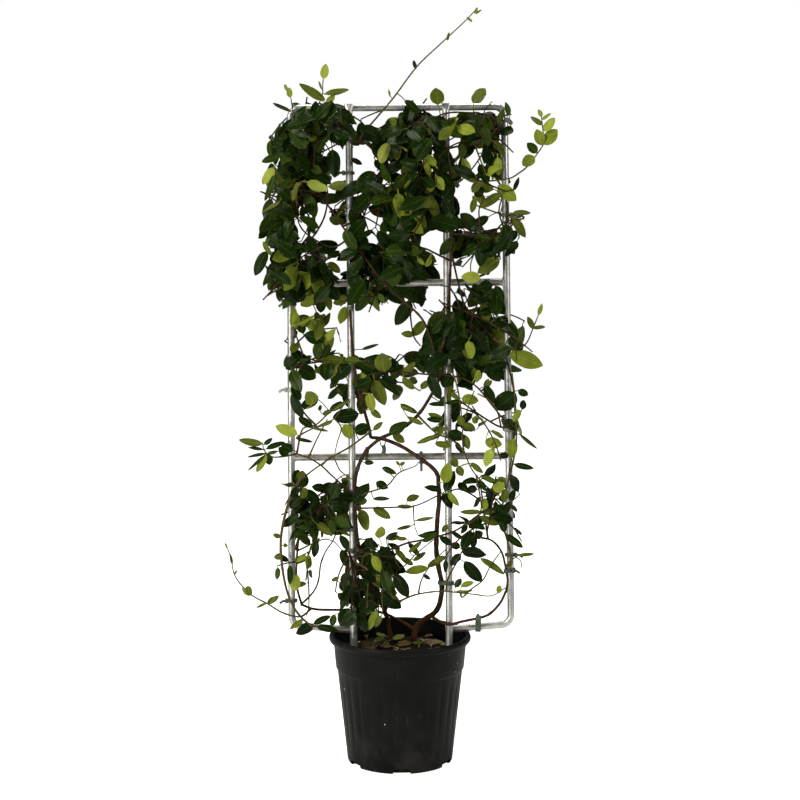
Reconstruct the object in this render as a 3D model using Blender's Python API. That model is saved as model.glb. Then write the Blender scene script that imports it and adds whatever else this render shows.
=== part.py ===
"""A climbing jasmine in a black nursery pot, trained on a two-legged tube rack.

Metres, +Z up. The origin is the middle of the pot's flat underside, +X runs to the right along the rack, and
the rack leans back towards +Y. Rack, stems and foliage are laid out in the rack's own leaning frame: across,
depth (minus is the front) and height above the rack's feet.
"""

import math
import random

import bmesh
import bpy
from mathutils import Euler, Matrix, Vector
from mathutils.bvhtree import BVHTree
from mathutils.geometry import interpolate_bezier

MM = 0.001
GAP = 0.0003  # between two pieces that touch
CLEARANCE = 0.0002  # the least that foliage keeps from a tube or a limb

# Pot
POT_HEIGHT = 0.172
POT_SIDES = 48  # twenty-four shallow flutes, a ridge and a groove each
POT_WALL = 0.0015
POT_FLOOR = 0.003
BASE_RADIUS = 0.070
BODY_TOP_RADIUS = 0.0835
BODY_TOP = 0.125
COLLAR_FOOT_RADIUS = 0.0855
COLLAR_FOOT = 0.128
COLLAR_TOP_RADIUS = 0.0885
COLLAR_TOP = 0.1625
BEAD_RADIUS = 0.0945
BEAD_MIDDLE = 0.1675
MOUTH_RADIUS = 0.0890
FLUTE_DEPTH = 0.0006
FOOT_BEVEL = 0.0015
NOTCHES = 6
NOTCH_TURN = math.radians(2)  # of the first notch, from the front
NOTCH_WIDTH = 0.023
NOTCH_HEIGHT = 0.007
NOTCH_CORNER = 0.002
NOTCH_INNER_RADIUS = 0.062
SOIL_TOP = 0.150
SOIL_EDGE_DROP = 0.003
SOIL_FLAT_RADIUS = 0.066

# Rack, in its own leaning frame: its feet are at height 0
RACK_BASE = Vector((0.002, 0.0, 0.178))
LEAN_BACK = math.radians(4.0)
LEAN_LEFT = math.radians(0.46)
TUBE_RADIUS = 0.00475
TUBE_SIDES = 12
RACK_HEIGHT = 0.690
POST_FOOT_ACROSS = 0.146  # the posts toe in a little towards the top
POST_TOP_ACROSS = 0.1405
CORNER_RADIUS = 0.013
CORNER_STEPS = 4
FOOT_INNER_HEIGHT = -0.0015
FOOT_OUTER_HEIGHT = 0.0055
LEG_ACROSS = 0.0635
LEG_DEPTH = -(2 * TUBE_RADIUS + GAP)  # the legs stand in front of the bars
LEG_IN_SOIL = 0.052
LEG_ABOVE_RAIL = 0.004
CROSSBAR_HEIGHTS = {"lower": 0.230, "upper": 0.460}
TIE_WIDTH = 0.005
TIE_THICKNESS = 0.0012
TIE_SLACK = 0.0010
TIE_STEPS = 12

# Plant
LIMB_SIDES = 6
THICK_LIMB = 1.6  # mm; a thicker limb gets a second step between its route's points
TWIG_SIDES = 3
LEAF_LENGTH = 0.054
LEAF_WIDTH = 0.033
LEAF_THICKNESS = 0.0015
LEAF_ROOT = 0.0006  # how far a leaf's foot is sunk past its twig's axis
WELD = 0.0000002
FLAT_ANGLE = math.radians(0.3)
LEAF_BELLY = 0.45  # where a leaf is widest, as a share of its length
SHOOT_SIDES = 4
SHOOT_LEAF_CURL = 0.05
POT_ROOM = 0.004  # how far foliage stays above the pot's mouth and outside its wall
GROUND_ROOM = 0.02
SPACE_MARGIN = 0.0004  # each mass keeps this far inside the planes to its neighbours

LEAN = Matrix.Translation(RACK_BASE) @ Euler((-LEAN_BACK, -LEAN_LEFT, 0.0)).to_matrix().to_4x4()

# ---------------------------------------------------------------- shapes


def finish(name, colour, roughness, metallic=0.0):
    material = bpy.data.materials.new(name)
    material.use_nodes = True
    shader = material.node_tree.nodes["Principled BSDF"]
    shader.inputs["Base Color"].default_value = (*colour, 1.0)
    shader.inputs["Roughness"].default_value = roughness
    shader.inputs["Metallic"].default_value = metallic
    return material


def solid(name, shape, material, parent=None, collection=None):
    """An object from a shape, which is a list of points and a list of faces."""
    points, faces = shape
    mesh = bpy.data.meshes.new(name)
    mesh.from_pydata([tuple(point) for point in points], [], faces)
    mesh.materials.append(material)
    edit = bmesh.new()
    edit.from_mesh(mesh)
    bmesh.ops.recalc_face_normals(edit, faces=edit.faces)
    bmesh.ops.triangulate(edit, faces=edit.faces)
    edit.to_mesh(mesh)
    edit.free()
    made = bpy.data.objects.new(name, mesh)
    (collection or bpy.context.scene.collection).objects.link(made)
    made.parent = parent
    return made


def shade_round(made, angle=math.radians(35)):
    made.data.shade_smooth()
    made.data.set_sharp_from_angle(angle=angle)


def turned(profile, sides, groove=0.0, grooved=()):
    """A shape turned about Z from (radius, height) pairs; a pair on the axis closes an end.

    Every second side of the rings listed in grooved is pulled in by groove.
    """
    points, rings = [], []
    for place, (radius, height) in enumerate(profile):
        count = 1 if radius == 0 else sides
        rings.append(range(len(points), len(points) + count))
        for side in range(count):
            turn = 2 * math.pi * side / sides
            reach = radius - (groove if place in grooved and side % 2 else 0.0)
            points.append(Vector((reach * math.sin(turn), -reach * math.cos(turn), height)))
    faces = []
    for low, high in zip(rings, rings[1:]):
        for side in range(sides):
            after = (side + 1) % sides
            if len(low) == 1:
                faces.append((low[0], high[after], high[side]))
            elif len(high) == 1:
                faces.append((low[side], low[after], high[0]))
            else:
                faces.append((low[side], low[after], high[after], high[side]))
    return points, faces


def tube(path, radii, sides, first_normal=None, last_normal=None):
    """A capped tube along a path, with a radius for each of its points."""
    points, faces = [], []
    tangents = [(after - before).normalized() for before, after in zip(path, path[1:])]
    tangents.append(tangents[-1].copy())
    normals = [first_normal or tangents[0]]
    normals += [(before + after).normalized() for before, after in zip(tangents, tangents[1:-1])]
    normals.append(last_normal or tangents[-1])
    side_way = normals[0].orthogonal().normalized()
    for centre, normal, radius in zip(path, normals, radii):
        side_way = (side_way - side_way.dot(normal) * normal).normalized()
        up_way = normal.cross(side_way)
        for side in range(sides):
            turn = 2 * math.pi * side / sides
            points.append(centre + radius * (math.cos(turn) * side_way + math.sin(turn) * up_way))
    for ring in range(len(path) - 1):
        for side in range(sides):
            after = (side + 1) % sides
            low, high = ring * sides, (ring + 1) * sides
            faces.append((low + side, low + after, high + after, high + side))
    faces.append(tuple(reversed(range(sides))))
    faces.append(tuple(range((len(path) - 1) * sides, len(path) * sides)))
    return points, faces


def smooth_path(route, steps):
    """A curve through a route's points, with steps pieces between each two of them."""
    ends = [2 * route[0] - route[1], *route, 2 * route[-1] - route[-2]]
    path = [route[0].copy()]
    for before, start, end, after in zip(ends, ends[1:], ends[2:], ends[3:]):
        lead, trail = start + (end - before) / 6, end - (after - start) / 6
        path += interpolate_bezier(start, lead, trail, end, steps + 1)[1:]
    return path


def tapered(path, start_radius, end_radius):
    """A radius for each point of a path, falling evenly along it."""
    lengths = [0.0]
    for before, after in zip(path, path[1:]):
        lengths.append(lengths[-1] + (after - before).length)
    return [start_radius + (end_radius - start_radius) * length / lengths[-1] for length in lengths]


# ---------------------------------------------------------------- pot and soil


def pot(material):
    inner = POT_WALL
    profile = [
        (0.0, 0.0),
        (BASE_RADIUS - FOOT_BEVEL, 0.0),
        (BASE_RADIUS, FOOT_BEVEL),
        (BODY_TOP_RADIUS, BODY_TOP),
        (COLLAR_FOOT_RADIUS, COLLAR_FOOT),
        (COLLAR_TOP_RADIUS, COLLAR_TOP),
        (BEAD_RADIUS - 0.0015, COLLAR_TOP + 0.0010),
        (BEAD_RADIUS, BEAD_MIDDLE),
        (BEAD_RADIUS - 0.0018, POT_HEIGHT - 0.0010),
        (BEAD_RADIUS - 0.0042, POT_HEIGHT),
        (MOUTH_RADIUS - inner, POT_HEIGHT - 0.0020),
        (COLLAR_TOP_RADIUS - inner, COLLAR_TOP),
        (BODY_TOP_RADIUS - inner, BODY_TOP),
        (BASE_RADIUS - inner, POT_FLOOR),
        (0.0, POT_FLOOR),
    ]
    made = solid("pot", turned(profile, POT_SIDES, FLUTE_DEPTH, grooved=(2, 3)), material)
    shade_round(made)
    cut(made, "pot_notches", [notch(place) for place in range(NOTCHES)])
    return made


def notch(place):
    """The space of one drainage notch in the pot's bottom edge."""
    half, shoulder = NOTCH_WIDTH / 2, NOTCH_HEIGHT - NOTCH_CORNER
    outline = [
        (-half, -0.001),
        (half, -0.001),
        (half, shoulder),
        (half - NOTCH_CORNER, NOTCH_HEIGHT),
        (NOTCH_CORNER - half, NOTCH_HEIGHT),
        (-half, shoulder),
    ]
    turn = Matrix.Rotation(NOTCH_TURN + place * 2 * math.pi / NOTCHES, 3, "Z")
    points = []
    for reach in (NOTCH_INNER_RADIUS, BASE_RADIUS + 0.005):
        points += [turn @ Vector((across, -reach, height)) for across, height in outline]
    count = len(outline)
    faces = [tuple(range(count)), tuple(range(count, 2 * count))]
    for side in range(count):
        after = (side + 1) % count
        faces.append((side, after, count + after, count + side))
    return points, faces


def cut(made, name, shapes, parent=None):
    """Cuts shapes out of an object with one Boolean on a collection."""
    cutters = bpy.data.collections.new(name)
    bpy.context.scene.collection.children.link(cutters)
    for place, shape in enumerate(shapes):
        cutter = solid(f"{name}_{place}", shape, made.data.materials[0], parent, cutters)
        cutter.hide_render = True
        cutter.display_type = "WIRE"
    boolean = made.modifiers.new(name, "BOOLEAN")
    boolean.operation = "DIFFERENCE"
    boolean.operand_type = "COLLECTION"
    boolean.collection = cutters
    boolean.solver = "EXACT"


def soil(material, rack):
    """The root ball's soil, 0.3 mm inside the pot, with a blind hole for each leg of the rack."""

    def inside(height):
        """The pot's inner radius at a height."""
        levels = [
            (POT_FLOOR, BASE_RADIUS),
            (BODY_TOP, BODY_TOP_RADIUS),
            (COLLAR_TOP, COLLAR_TOP_RADIUS),
        ]
        for (low, low_radius), (high, high_radius) in zip(levels, levels[1:]):
            if height <= high:
                share = (height - low) / (high - low)
                return low_radius + share * (high_radius - low_radius) - POT_WALL

    bottom, edge = POT_FLOOR + GAP, SOIL_TOP - SOIL_EDGE_DROP
    profile = [
        (0.0, bottom),
        (inside(bottom) - GAP, bottom),
        (inside(BODY_TOP) - GAP, BODY_TOP),
        (inside(edge) - GAP, edge),
        (SOIL_FLAT_RADIUS, SOIL_TOP),
        (0.0, SOIL_TOP),
    ]
    made = solid("soil", turned(profile, POT_SIDES // 2), material)
    holes = []
    for side in (-1, 1):
        foot, top = leg_ends(side)
        path = [foot - Vector((0, 0, GAP)), top]
        holes.append(tube(path, [TUBE_RADIUS + GAP] * 2, TUBE_SIDES))
    cut(made, "leg_holes", holes, rack)
    return made


# ---------------------------------------------------------------- rack


def post_across(height):
    """How far a post's centre is from the rack's middle at a height."""
    return POST_FOOT_ACROSS + (POST_TOP_ACROSS - POST_FOOT_ACROSS) * height / RACK_HEIGHT


def leg_ends(side):
    across = side * LEG_ACROSS
    return (
        Vector((across, LEG_DEPTH, -LEG_IN_SOIL)),
        Vector((across, LEG_DEPTH, RACK_HEIGHT + LEG_ABOVE_RAIL)),
    )


def rounded_corner(before, corner, after):
    """The arc of a tube's centre-line round a corner."""
    way_in, way_out = (before - corner).normalized(), (after - corner).normalized()
    half = way_in.angle(way_out) / 2
    reach = CORNER_RADIUS / math.tan(half)
    start, end = corner + way_in * reach, corner + way_out * reach
    middle = corner + (way_in + way_out).normalized() * (CORNER_RADIUS / math.sin(half))
    axis = (start - middle).cross(end - middle).normalized()
    sweep = math.pi - 2 * half
    arc = []
    for step in range(CORNER_STEPS + 1):
        turn = Matrix.Rotation(sweep * step / CORNER_STEPS, 3, axis)
        arc.append(middle + turn @ (start - middle))
    return arc


def rack_tubes():
    """Each tube's centre-line and the ways its ends face, by name; each ends 0.3 mm clear of the next."""
    tubes = {}

    def straight(name, start, end, start_gap=GAP, end_gap=GAP):
        way = (end - start).normalized()
        tubes[name] = ([start + way * start_gap, end - way * end_gap], way, way)

    def bent(name, arc, corner):
        tubes[name] = (arc, (corner - arc[0]).normalized(), (arc[-1] - corner).normalized())

    arcs = {}
    for side, word in ((-1, "left"), (1, "right")):
        foot_inner = Vector((side * (LEG_ACROSS - TUBE_RADIUS), 0, FOOT_INNER_HEIGHT))
        foot_outer = Vector((side * POST_FOOT_ACROSS, 0, FOOT_OUTER_HEIGHT))
        top = Vector((side * POST_TOP_ACROSS, 0, RACK_HEIGHT))
        low_arc = rounded_corner(foot_inner, foot_outer, top)
        high_arc = rounded_corner(foot_outer, top, Vector((0, 0, RACK_HEIGHT)))
        arcs[word] = high_arc
        bent(f"rack_low_elbow_{word}", low_arc, foot_outer)
        bent(f"rack_top_elbow_{word}", high_arc, top)
        straight(f"rack_foot_{word}", foot_inner, low_arc[0], start_gap=0)
        straight(f"rack_post_{word}", low_arc[-1], high_arc[0])
        straight(f"rack_leg_{word}", *leg_ends(side), start_gap=0, end_gap=0)
    straight("rack_top_rail", arcs["left"][-1], arcs["right"][-1])
    for word, height in CROSSBAR_HEIGHTS.items():
        reach = post_across(height) - TUBE_RADIUS
        straight(f"rack_crossbar_{word}", Vector((-reach, 0, height)), Vector((reach, 0, height)))
    return tubes


def tie(tube_centre, stem_centre, stem_radius, axis):
    """A plastic band round a tube and the stem beside it, in the plane across the tube."""
    axis = axis.normalized()
    first = (stem_centre - tube_centre).normalized()
    second = axis.cross(first)
    loops = {}
    for name, extra in (("inner", TIE_SLACK), ("outer", TIE_SLACK + TIE_THICKNESS)):
        rounds = [(tube_centre, TUBE_RADIUS + extra), (stem_centre, stem_radius + extra)]
        loops[name] = []
        for step in range(TIE_STEPS):
            turn = 2 * math.pi * (step + 0.5) / TIE_STEPS
            way = math.cos(turn) * first + math.sin(turn) * second
            centre, radius = max(rounds, key=lambda one: one[0].dot(way) + one[1])
            loops[name].append(centre + way * radius)
    points = []
    for name, shift in (("outer", -0.5), ("outer", 0.5), ("inner", 0.5), ("inner", -0.5)):
        points += [point + axis * TIE_WIDTH * shift for point in loops[name]]
    faces = []
    for band in range(4):
        low, high = band * TIE_STEPS, (band + 1) % 4 * TIE_STEPS
        for step in range(TIE_STEPS):
            after = (step + 1) % TIE_STEPS
            faces.append((low + step, low + after, high + after, high + step))
    return points, faces


# ---------------------------------------------------------------- limbs

# Name: what it grows from, radii at its foot and tip in mm, and its route in the rack's frame in mm. A limb
# that grows from another starts 0.3 mm clear of it, at the place nearest to its own first point.
SOIL = "soil"
LIMBS = {
    "stem_left_low": (SOIL, 2.7, 2.4, [
        (-13, 45), (-19, 38, 6), (-26, 24, 28), (-39, 6, 55), (-52, -10, 90), (-58, -18, 126),
        (-60, -19, 158),
    ]),
    "stem_left_high": ("stem_left_low", 2.3, 2.1, [
        (-60, -19, 160), (-60, -19, 197), (-55, -18, 219), (-44, -16, 240), (-27, -16, 255),
    ]),
    "bough_diagonal": ("stem_left_high", 2.1, 1.7, [
        (-25, -16, 256), (3, -17, 269), (24, -15, 286), (39, -17, 308), (51, -20, 332), (55, -21, 371),
    ]),
    "bough_right_leg": ("bough_diagonal", 1.7, 1.2, [
        (55, -21, 372), (62, -22, 397), (66, -22, 450), (69, -22, 503), (71, -22, 568), (65, -22, 634),
    ]),
    "stem_right_low": (SOIL, 3.4, 2.9, [
        (14, 45), (22, 38, -2), (33, 26, 9), (45, 12, 20), (52, 2, 36), (54, -4, 60), (49, -8, 86),
        (47, -9, 108),
    ]),
    "stem_right_high": ("stem_right_low", 2.8, 2.5, [
        (47, -9, 110), (48, -12, 141), (51, -14, 172), (50, -15, 202),
    ]),
    "stem_arch": ("stem_right_high", 2.4, 2.0, [
        (50, -15, 204), (46, -14, 212), (34, -13, 223), (4, -9, 243), (-22, -6, 254), (-37, -6, 256),
    ]),
    "bough_left_leg": ("stem_arch", 1.9, 1.4, [
        (-39, -6, 258), (-41, -8, 270), (-50, -15, 305), (-57, -20, 339), (-61, -21, 372), (-64, -21, 425),
    ]),
    "loop_right_low": ("stem_right_low", 1.9, 1.6, [
        (38, 19, 14), (60, -19, 9), (82, -16, 12), (109, -11, 17), (121, -11, 24), (132, -13, 37),
        (138, -14, 50),
    ]),
    "loop_right_high": ("loop_right_low", 1.5, 1.2, [
        (139, -14, 52), (141, -14, 66), (138, -13, 85), (133, -12, 104), (121, -9, 118), (105, -5, 122),
    ]),
    "loop_left_low": ("stem_right_low", 1.8, 1.5, [
        (17, 42, -8), (-4, 46, 4), (-30, 40, 16), (-68, 16, 23), (-112, 4, 26), (-131, -8, 34),
    ]),
    "loop_left_high": ("loop_left_low", 1.4, 1.1, [
        (-132, -9, 35), (-138, -13, 60), (-138, -14, 93), (-134, -13, 133), (-131, -13, 160),
    ]),
    "trail_right_high": ("bough_right_leg", 1.3, 1.1, [
        (71, -26, 500), (78, -20, 459), (86, -15, 431), (100, -13, 413), (127, -13, 382),
    ]),
    "trail_right_low": ("trail_right_high", 1.1, 0.8, [
        (128, -13, 381), (140, -15, 362), (150, -15, 315), (151, -14, 264), (142, -13, 198),
        (136, -13, 171),
    ]),
    "bough_centre": ("bough_diagonal", 1.5, 1.1, [
        (50, -24, 344), (34, -28, 406), (5, -23, 437), (-22, -19, 464), (-55, -23, 508), (-72, -24, 533),
        (-96, -17, 567), (-111, -14, 578),
    ]),
    "runner_top": ("bough_right_leg", 1.2, 1.0, [
        (64, -28, 488), (40, -27, 502), (18, -25, 514), (0, -23, 565), (-14, -18, 607), (-27, -15, 632),
        (-49, -16, 646),
    ]),
    "runner_left_high": ("bough_centre", 1.1, 0.9, [
        (-66, -27, 517), (-86, -21, 507), (-112, -15, 519), (-129, -14, 536), (-132, -13, 562),
        (-122, -13, 590),
    ]),
    "runner_left_mid": ("stem_left_high", 1.2, 0.9, [
        (-62, -23, 180), (-89, -18, 206), (-104, -15, 220), (-120, -14, 230), (-136, -15, 236),
    ]),
}


class Limb:
    """A tapering limb: its axis as a path, and the radius at each point of it."""

    def __init__(self, path, radii):
        self.path, self.radii = path, radii

    def nearest(self, target):
        """Place, direction and radius of the axis at the point nearest to a target."""
        best = None
        for place in range(len(self.path) - 1):
            start, end = self.path[place], self.path[place + 1]
            share = (target - start).dot(end - start) / (end - start).length_squared
            share = min(max(share, 0.0), 1.0)
            point = start.lerp(end, share)
            if best is None or (target - point).length < (target - best[0]).length:
                radius = self.radii[place] + share * (self.radii[place + 1] - self.radii[place])
                best = (point, (end - start).normalized(), radius)
        return best

    def tip(self):
        return self.path[-1]


def joint(parent, route, radius):
    """Where a limb of this radius starts on its parent: on from its tip, or out of its side."""
    point, way, parent_radius = parent.nearest(route[0])
    onward = (route[1] - route[0]).normalized()
    if (point - parent.tip()).length < parent_radius:
        return parent.tip() + way * GAP, way
    out = route[1] - point
    out = (out - out.dot(way) * way).normalized()
    lift = radius * math.sqrt(max(0.0, 1 - out.dot(onward) ** 2))
    return point + out * (parent_radius + GAP + lift), None


def lay_limb(name, limbs):
    """The limb of a name, laid from its parent, with the direction that its first cut faces."""
    parent, start_radius, end_radius, waypoints = LIMBS[name]
    route = [Vector(point) * MM for point in waypoints if len(point) == 3]
    if parent == SOIL:
        across, depth = waypoints[0]
        foot = Vector((across * MM + RACK_BASE.x, depth * MM, SOIL_TOP + GAP))
        route.insert(0, LEAN.inverted() @ foot)
        first_normal = LEAN.to_3x3().inverted() @ Vector((0, 0, 1))
    else:
        start, way = joint(limbs[parent], route, start_radius * MM)
        route[0] = start
        first_normal = way
    path = smooth_path(route, 2 if start_radius > THICK_LIMB else 1)
    return Limb(path, tapered(path, start_radius * MM, end_radius * MM)), first_normal


# ---------------------------------------------------------------- foliage

# The solvers and ways to split faces that a union tries in turn, until what it makes is closed.
UNION_WAYS = (("EXACT", "BEAUTY"), ("EXACT", "EAR_CLIP"), ("MANIFOLD", "BEAUTY"), ("MANIFOLD", "EAR_CLIP"))

# Shoots that reach past the masses. Name: the limb that each grows from, its route in mm, and its leaves as
# (share of its length, how far round it in degrees, size as a share of a full leaf).
SHOOTS = {
    "shoot_top": ("runner_top", [
        (-50, -16, 648), (-44, -15, 656), (-24, -16, 679), (-4, -17, 702), (26, -18, 741), (56, -19, 769),
        (87, -20, 797), (104, -22, 814),
    ], [(0.16, 20, 0.35), (0.47, 200, 0.25), (0.74, 20, 0.28), (0.98, 150, 0.28), (0.98, 330, 0.22)]),
    "shoot_top_left": ("runner_left_high", [
        (-131, -15, 562), (-134, -24, 590), (-124, -24, 640), (-110, -22, 690), (-100, -19, 722),
        (-98, -18, 738),
    ], [(0.62, 0, 0.55), (0.62, 180, 0.75), (0.80, 10, 0.62), (0.80, 190, 0.70), (0.98, 0, 0.45)]),
    "shoot_upper_right": ("bough_right_leg", [
        (68, -26, 610), (96, -26, 592), (141, -19, 594), (161, -15, 604), (178, -14, 616), (188, -14, 632),
        (190, -14, 648),
    ], [(0.70, 180, 0.55), (0.82, 0, 0.45), (0.82, 180, 0.6), (0.92, 10, 0.62), (0.92, 190, 0.55),
        (0.99, 0, 0.5), (0.99, 180, 0.62)]),
    "shoot_right": ("trail_right_high", [
        (124, -17, 386), (148, -17, 372), (166, -15, 378), (176, -15, 399), (183, -15, 416),
    ], [(0.45, 0, 0.85), (0.66, 180, 0.42), (0.84, 0, 0.40), (0.98, 90, 0.30)]),
    "shoot_left": ("runner_left_mid", [
        (-137, -15, 236), (-152, -17, 233), (-168, -17, 232), (-182, -17, 240), (-196, -17, 250),
        (-206, -17, 254),
    ], [(0.35, 180, 0.7), (0.35, 0, 0.62), (0.60, 180, 0.62), (0.60, 0, 0.6), (0.82, 180, 0.55),
        (0.82, 0, 0.5), (0.98, 90, 0.5)]),
    "shoot_low_left": ("loop_left_low", [
        (-118, -4, 26), (-134, -17, 20), (-157, -15, 25), (-181, -14, 36), (-205, -14, 49), (-219, -14, 65),
        (-227, -14, 80), (-229, -14, 94), (-233, -14, 112),
    ], [(0.24, 200, 0.42), (0.42, 20, 0.40), (0.55, 200, 0.42), (0.78, 20, 0.40), (0.98, 180, 0.30)]),
}

# The masses of leaves. Name: the limb that each hangs on, its middle in mm, its half sizes across, in
# depth and
# up, how many pairs of leaves it is grown with, and the seed of its twigs.
MASSES = {
    "foliage_top_left": ("runner_left_high", (-114, -8, 652), (60, 92, 62), 6, 3),
    "foliage_top_centre": ("runner_top", (6, -6, 656), (66, 88, 56), 6, 5),
    "foliage_top_right": ("bough_right_leg", (98, -8, 642), (58, 90, 64), 6, 9),
    "foliage_upper_left": ("bough_centre", (-137, -6, 566), (52, 100, 62), 6, 11),
    "foliage_upper_centre": ("bough_centre", (-48, -4, 556), (56, 96, 60), 6, 16),
    "foliage_upper_middle": ("runner_top", (40, -4, 566), (56, 98, 62), 6, 21),
    "foliage_upper_right": ("bough_right_leg", (118, -6, 530), (56, 96, 66), 5, 26),
    "foliage_left_shoulder": ("runner_left_high", (-132, -6, 476), (58, 92, 60), 5, 31),
    "foliage_crown": ("bough_centre", (-20, -6, 464), (70, 100, 54), 6, 36),
    "foliage_right_middle": ("trail_right_high", (106, -6, 398), (76, 92, 72), 7, 41),
    "foliage_left_middle": ("bough_left_leg", (-112, -6, 372), (48, 72, 68), 4, 46),
    "foliage_centre_middle": ("bough_left_leg", (-26, -4, 326), (66, 74, 46), 5, 51),
    "foliage_right_low_middle": ("trail_right_low", (112, -4, 272), (62, 66, 54), 4, 56),
    "foliage_left_lower": ("runner_left_mid", (-106, -4, 166), (66, 74, 46), 5, 61),
    "foliage_lower_centre": ("stem_left_low", (-40, -22, 62), (62, 82, 72), 7, 66),
    "foliage_left_edge": ("loop_left_high", (-138, -8, 72), (40, 50, 72), 3, 71),
    "foliage_right_lower": ("loop_right_high", (106, -4, 132), (62, 66, 84), 5, 76),
}

# Where the crown is open: the middle across and up, and half sizes, in mm.
OPENINGS = {
    "top window": ((-52, 618), (22, 20)),
    "right slot": ((90, 560), (8, 34)),
    "centre window": ((-14, 398), (48, 32)),
    "left slot": ((-92, 545), (8, 24)),
    "middle slot": ((2, 536), (10, 12)),
    "arch window": ((14, 196), (34, 30)),
}

STEM_TRIES = 30
STEM_STRAY = 0.25
STEM_RISE = Vector((0, 0, 0.02))
FIRST_TWIG = 0.33  # share of the stem below its first twig
TWIG_TRIES = 16
LEAF_TRIES = 40
LEAF_SIZES = (1.12, 0.66)  # a leaf that finds no room is tried smaller and smaller
FRONT_SHARE = 0.65  # of the leaves half-way through the depth, how many face the front
PAIR_SHIFT = 0.0026  # half of how far apart along the twig the two leaves of a pair stand
STEM_SHARE = 0.86  # the stem of a mass ends at this share of its space, and its twigs at the next
TWIG_SHARE = 0.76
STEM_RADIUS = 0.0018
TWIG_RADIUS = 0.0014
TWIG_TIP_RADIUS = 0.0012
KNOT_STEP = 0.028
GOLDEN_ANGLE = math.radians(137.5)


class Space:
    """The room of one mass: an ellipsoid, cut by a plane towards each of its neighbours."""

    def __init__(self, name):
        _, middle, half_sizes, _, _ = MASSES[name]
        self.middle = Vector(middle) * MM
        self.half = Vector(half_sizes) * MM
        self.planes = []
        reach = (self.half.x + self.half.z) / 2
        for other, (_, other_middle, other_half, _, _) in MASSES.items():
            if other == name:
                continue
            way = Vector(other_middle) * MM - self.middle
            other_reach = (other_half[0] + other_half[2]) / 2 * MM
            share = 0.5 + (reach**2 - other_reach**2) / (2 * way.length_squared)
            self.planes.append((way.normalized(), way.length * share - SPACE_MARGIN))

    def holds(self, point, share=1.0):
        offset = point - self.middle
        if sum((offset[axis] / self.half[axis]) ** 2 for axis in range(3)) > share**2:
            return False
        return all(offset.dot(way) < limit for way, limit in self.planes)

    def edge(self, way, share):
        """The point in a direction from the middle that lies at this share of the room there."""
        reach = 1 / math.sqrt(sum((way[axis] / self.half[axis]) ** 2 for axis in range(3)))
        for plane_way, limit in self.planes:
            if way.dot(plane_way) > 0:
                reach = min(reach, limit / way.dot(plane_way))
        return self.middle + way * reach * share


def in_opening(point):
    across, _, height = point / MM
    for (middle_across, middle_height), (half_across, half_height) in OPENINGS.values():
        if ((across - middle_across) / half_across) ** 2 + ((height - middle_height) / half_height) ** 2 < 1:
            return True
    return False


def clear_of_pot(point):
    """Whether a point is above the pot's mouth, or outside its wall and above the ground."""
    place = LEAN @ point
    if place.z > POT_HEIGHT + POT_ROOM:
        return True
    return place.z > GROUND_ROOM and math.hypot(place.x, place.y) > BEAD_RADIUS + POT_ROOM


def leaf(root, along, facing, size, curl):
    """A leaf of eight faces: a long diamond with a ridge on each side, its tip curled down."""
    facing = (facing - facing.dot(along) * along).normalized()
    side = along.cross(facing)
    length, width = LEAF_LENGTH * size, LEAF_WIDTH * size
    foot = root - along * LEAF_ROOT
    belly = foot + along * length * LEAF_BELLY
    points = [
        foot,
        belly + side * width / 2,
        foot + along * length - facing * curl * length,
        belly - side * width / 2,
        belly + facing * LEAF_THICKNESS / 2,
        belly - facing * LEAF_THICKNESS / 2,
    ]
    faces = []
    for start in range(4):
        end = (start + 1) % 4
        faces += [(start, end, 4), (end, start, 5)]
    return points, faces


def touches(shape, obstacles):
    points, faces = shape
    return bool(BVHTree.FromPolygons(points, faces).overlap(obstacles))


def fused(name, shapes, material, parent):
    """One closed body from shapes that overlap, by one Boolean union on a collection."""
    made = solid(name, shapes[0], material, parent)
    pieces = bpy.data.collections.new(name + "_pieces")
    bpy.context.scene.collection.children.link(pieces)
    for place, shape in enumerate(shapes[1:]):
        solid(f"{name}_piece_{place}", shape, material, parent, pieces)
    union = made.modifiers.new("union", "BOOLEAN")
    union.operation = "UNION"
    union.operand_type = "COLLECTION"
    union.collection = pieces
    for solver, corners in UNION_WAYS:
        union.solver = solver
        graph = bpy.context.evaluated_depsgraph_get()
        joined = bpy.data.meshes.new_from_object(made.evaluated_get(graph))
        if keep_largest_body(joined, corners):
            break
    made.modifiers.clear()
    made.data = joined
    for piece in list(pieces.objects):
        bpy.data.objects.remove(piece)
    bpy.data.collections.remove(pieces)
    return made


def keep_largest_body(mesh, corners):
    """Welds points, drops every loose scrap and sealed hollow, and says whether the rest is closed."""
    edit = bmesh.new()
    edit.from_mesh(mesh)
    bmesh.ops.remove_doubles(edit, verts=edit.verts, dist=WELD)
    bmesh.ops.dissolve_limit(edit, angle_limit=FLAT_ANGLE, verts=edit.verts, edges=edit.edges)
    bmesh.ops.triangulate(edit, faces=edit.faces, ngon_method=corners)
    left, bodies = set(edit.faces), []
    while left:
        body, front = set(), [left.pop()]
        while front:
            face = front.pop()
            body.add(face)
            near = {other for edge in face.edges for other in edge.link_faces} & left
            left -= near
            front += near
        bodies.append(body)
    bodies.sort(key=len)
    for body in bodies[:-1]:
        bmesh.ops.delete(edit, geom=list(body), context="FACES")
    closed = all(len(edge.link_faces) == 2 for edge in edit.edges)
    edit.to_mesh(mesh)
    edit.free()
    return closed


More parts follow.
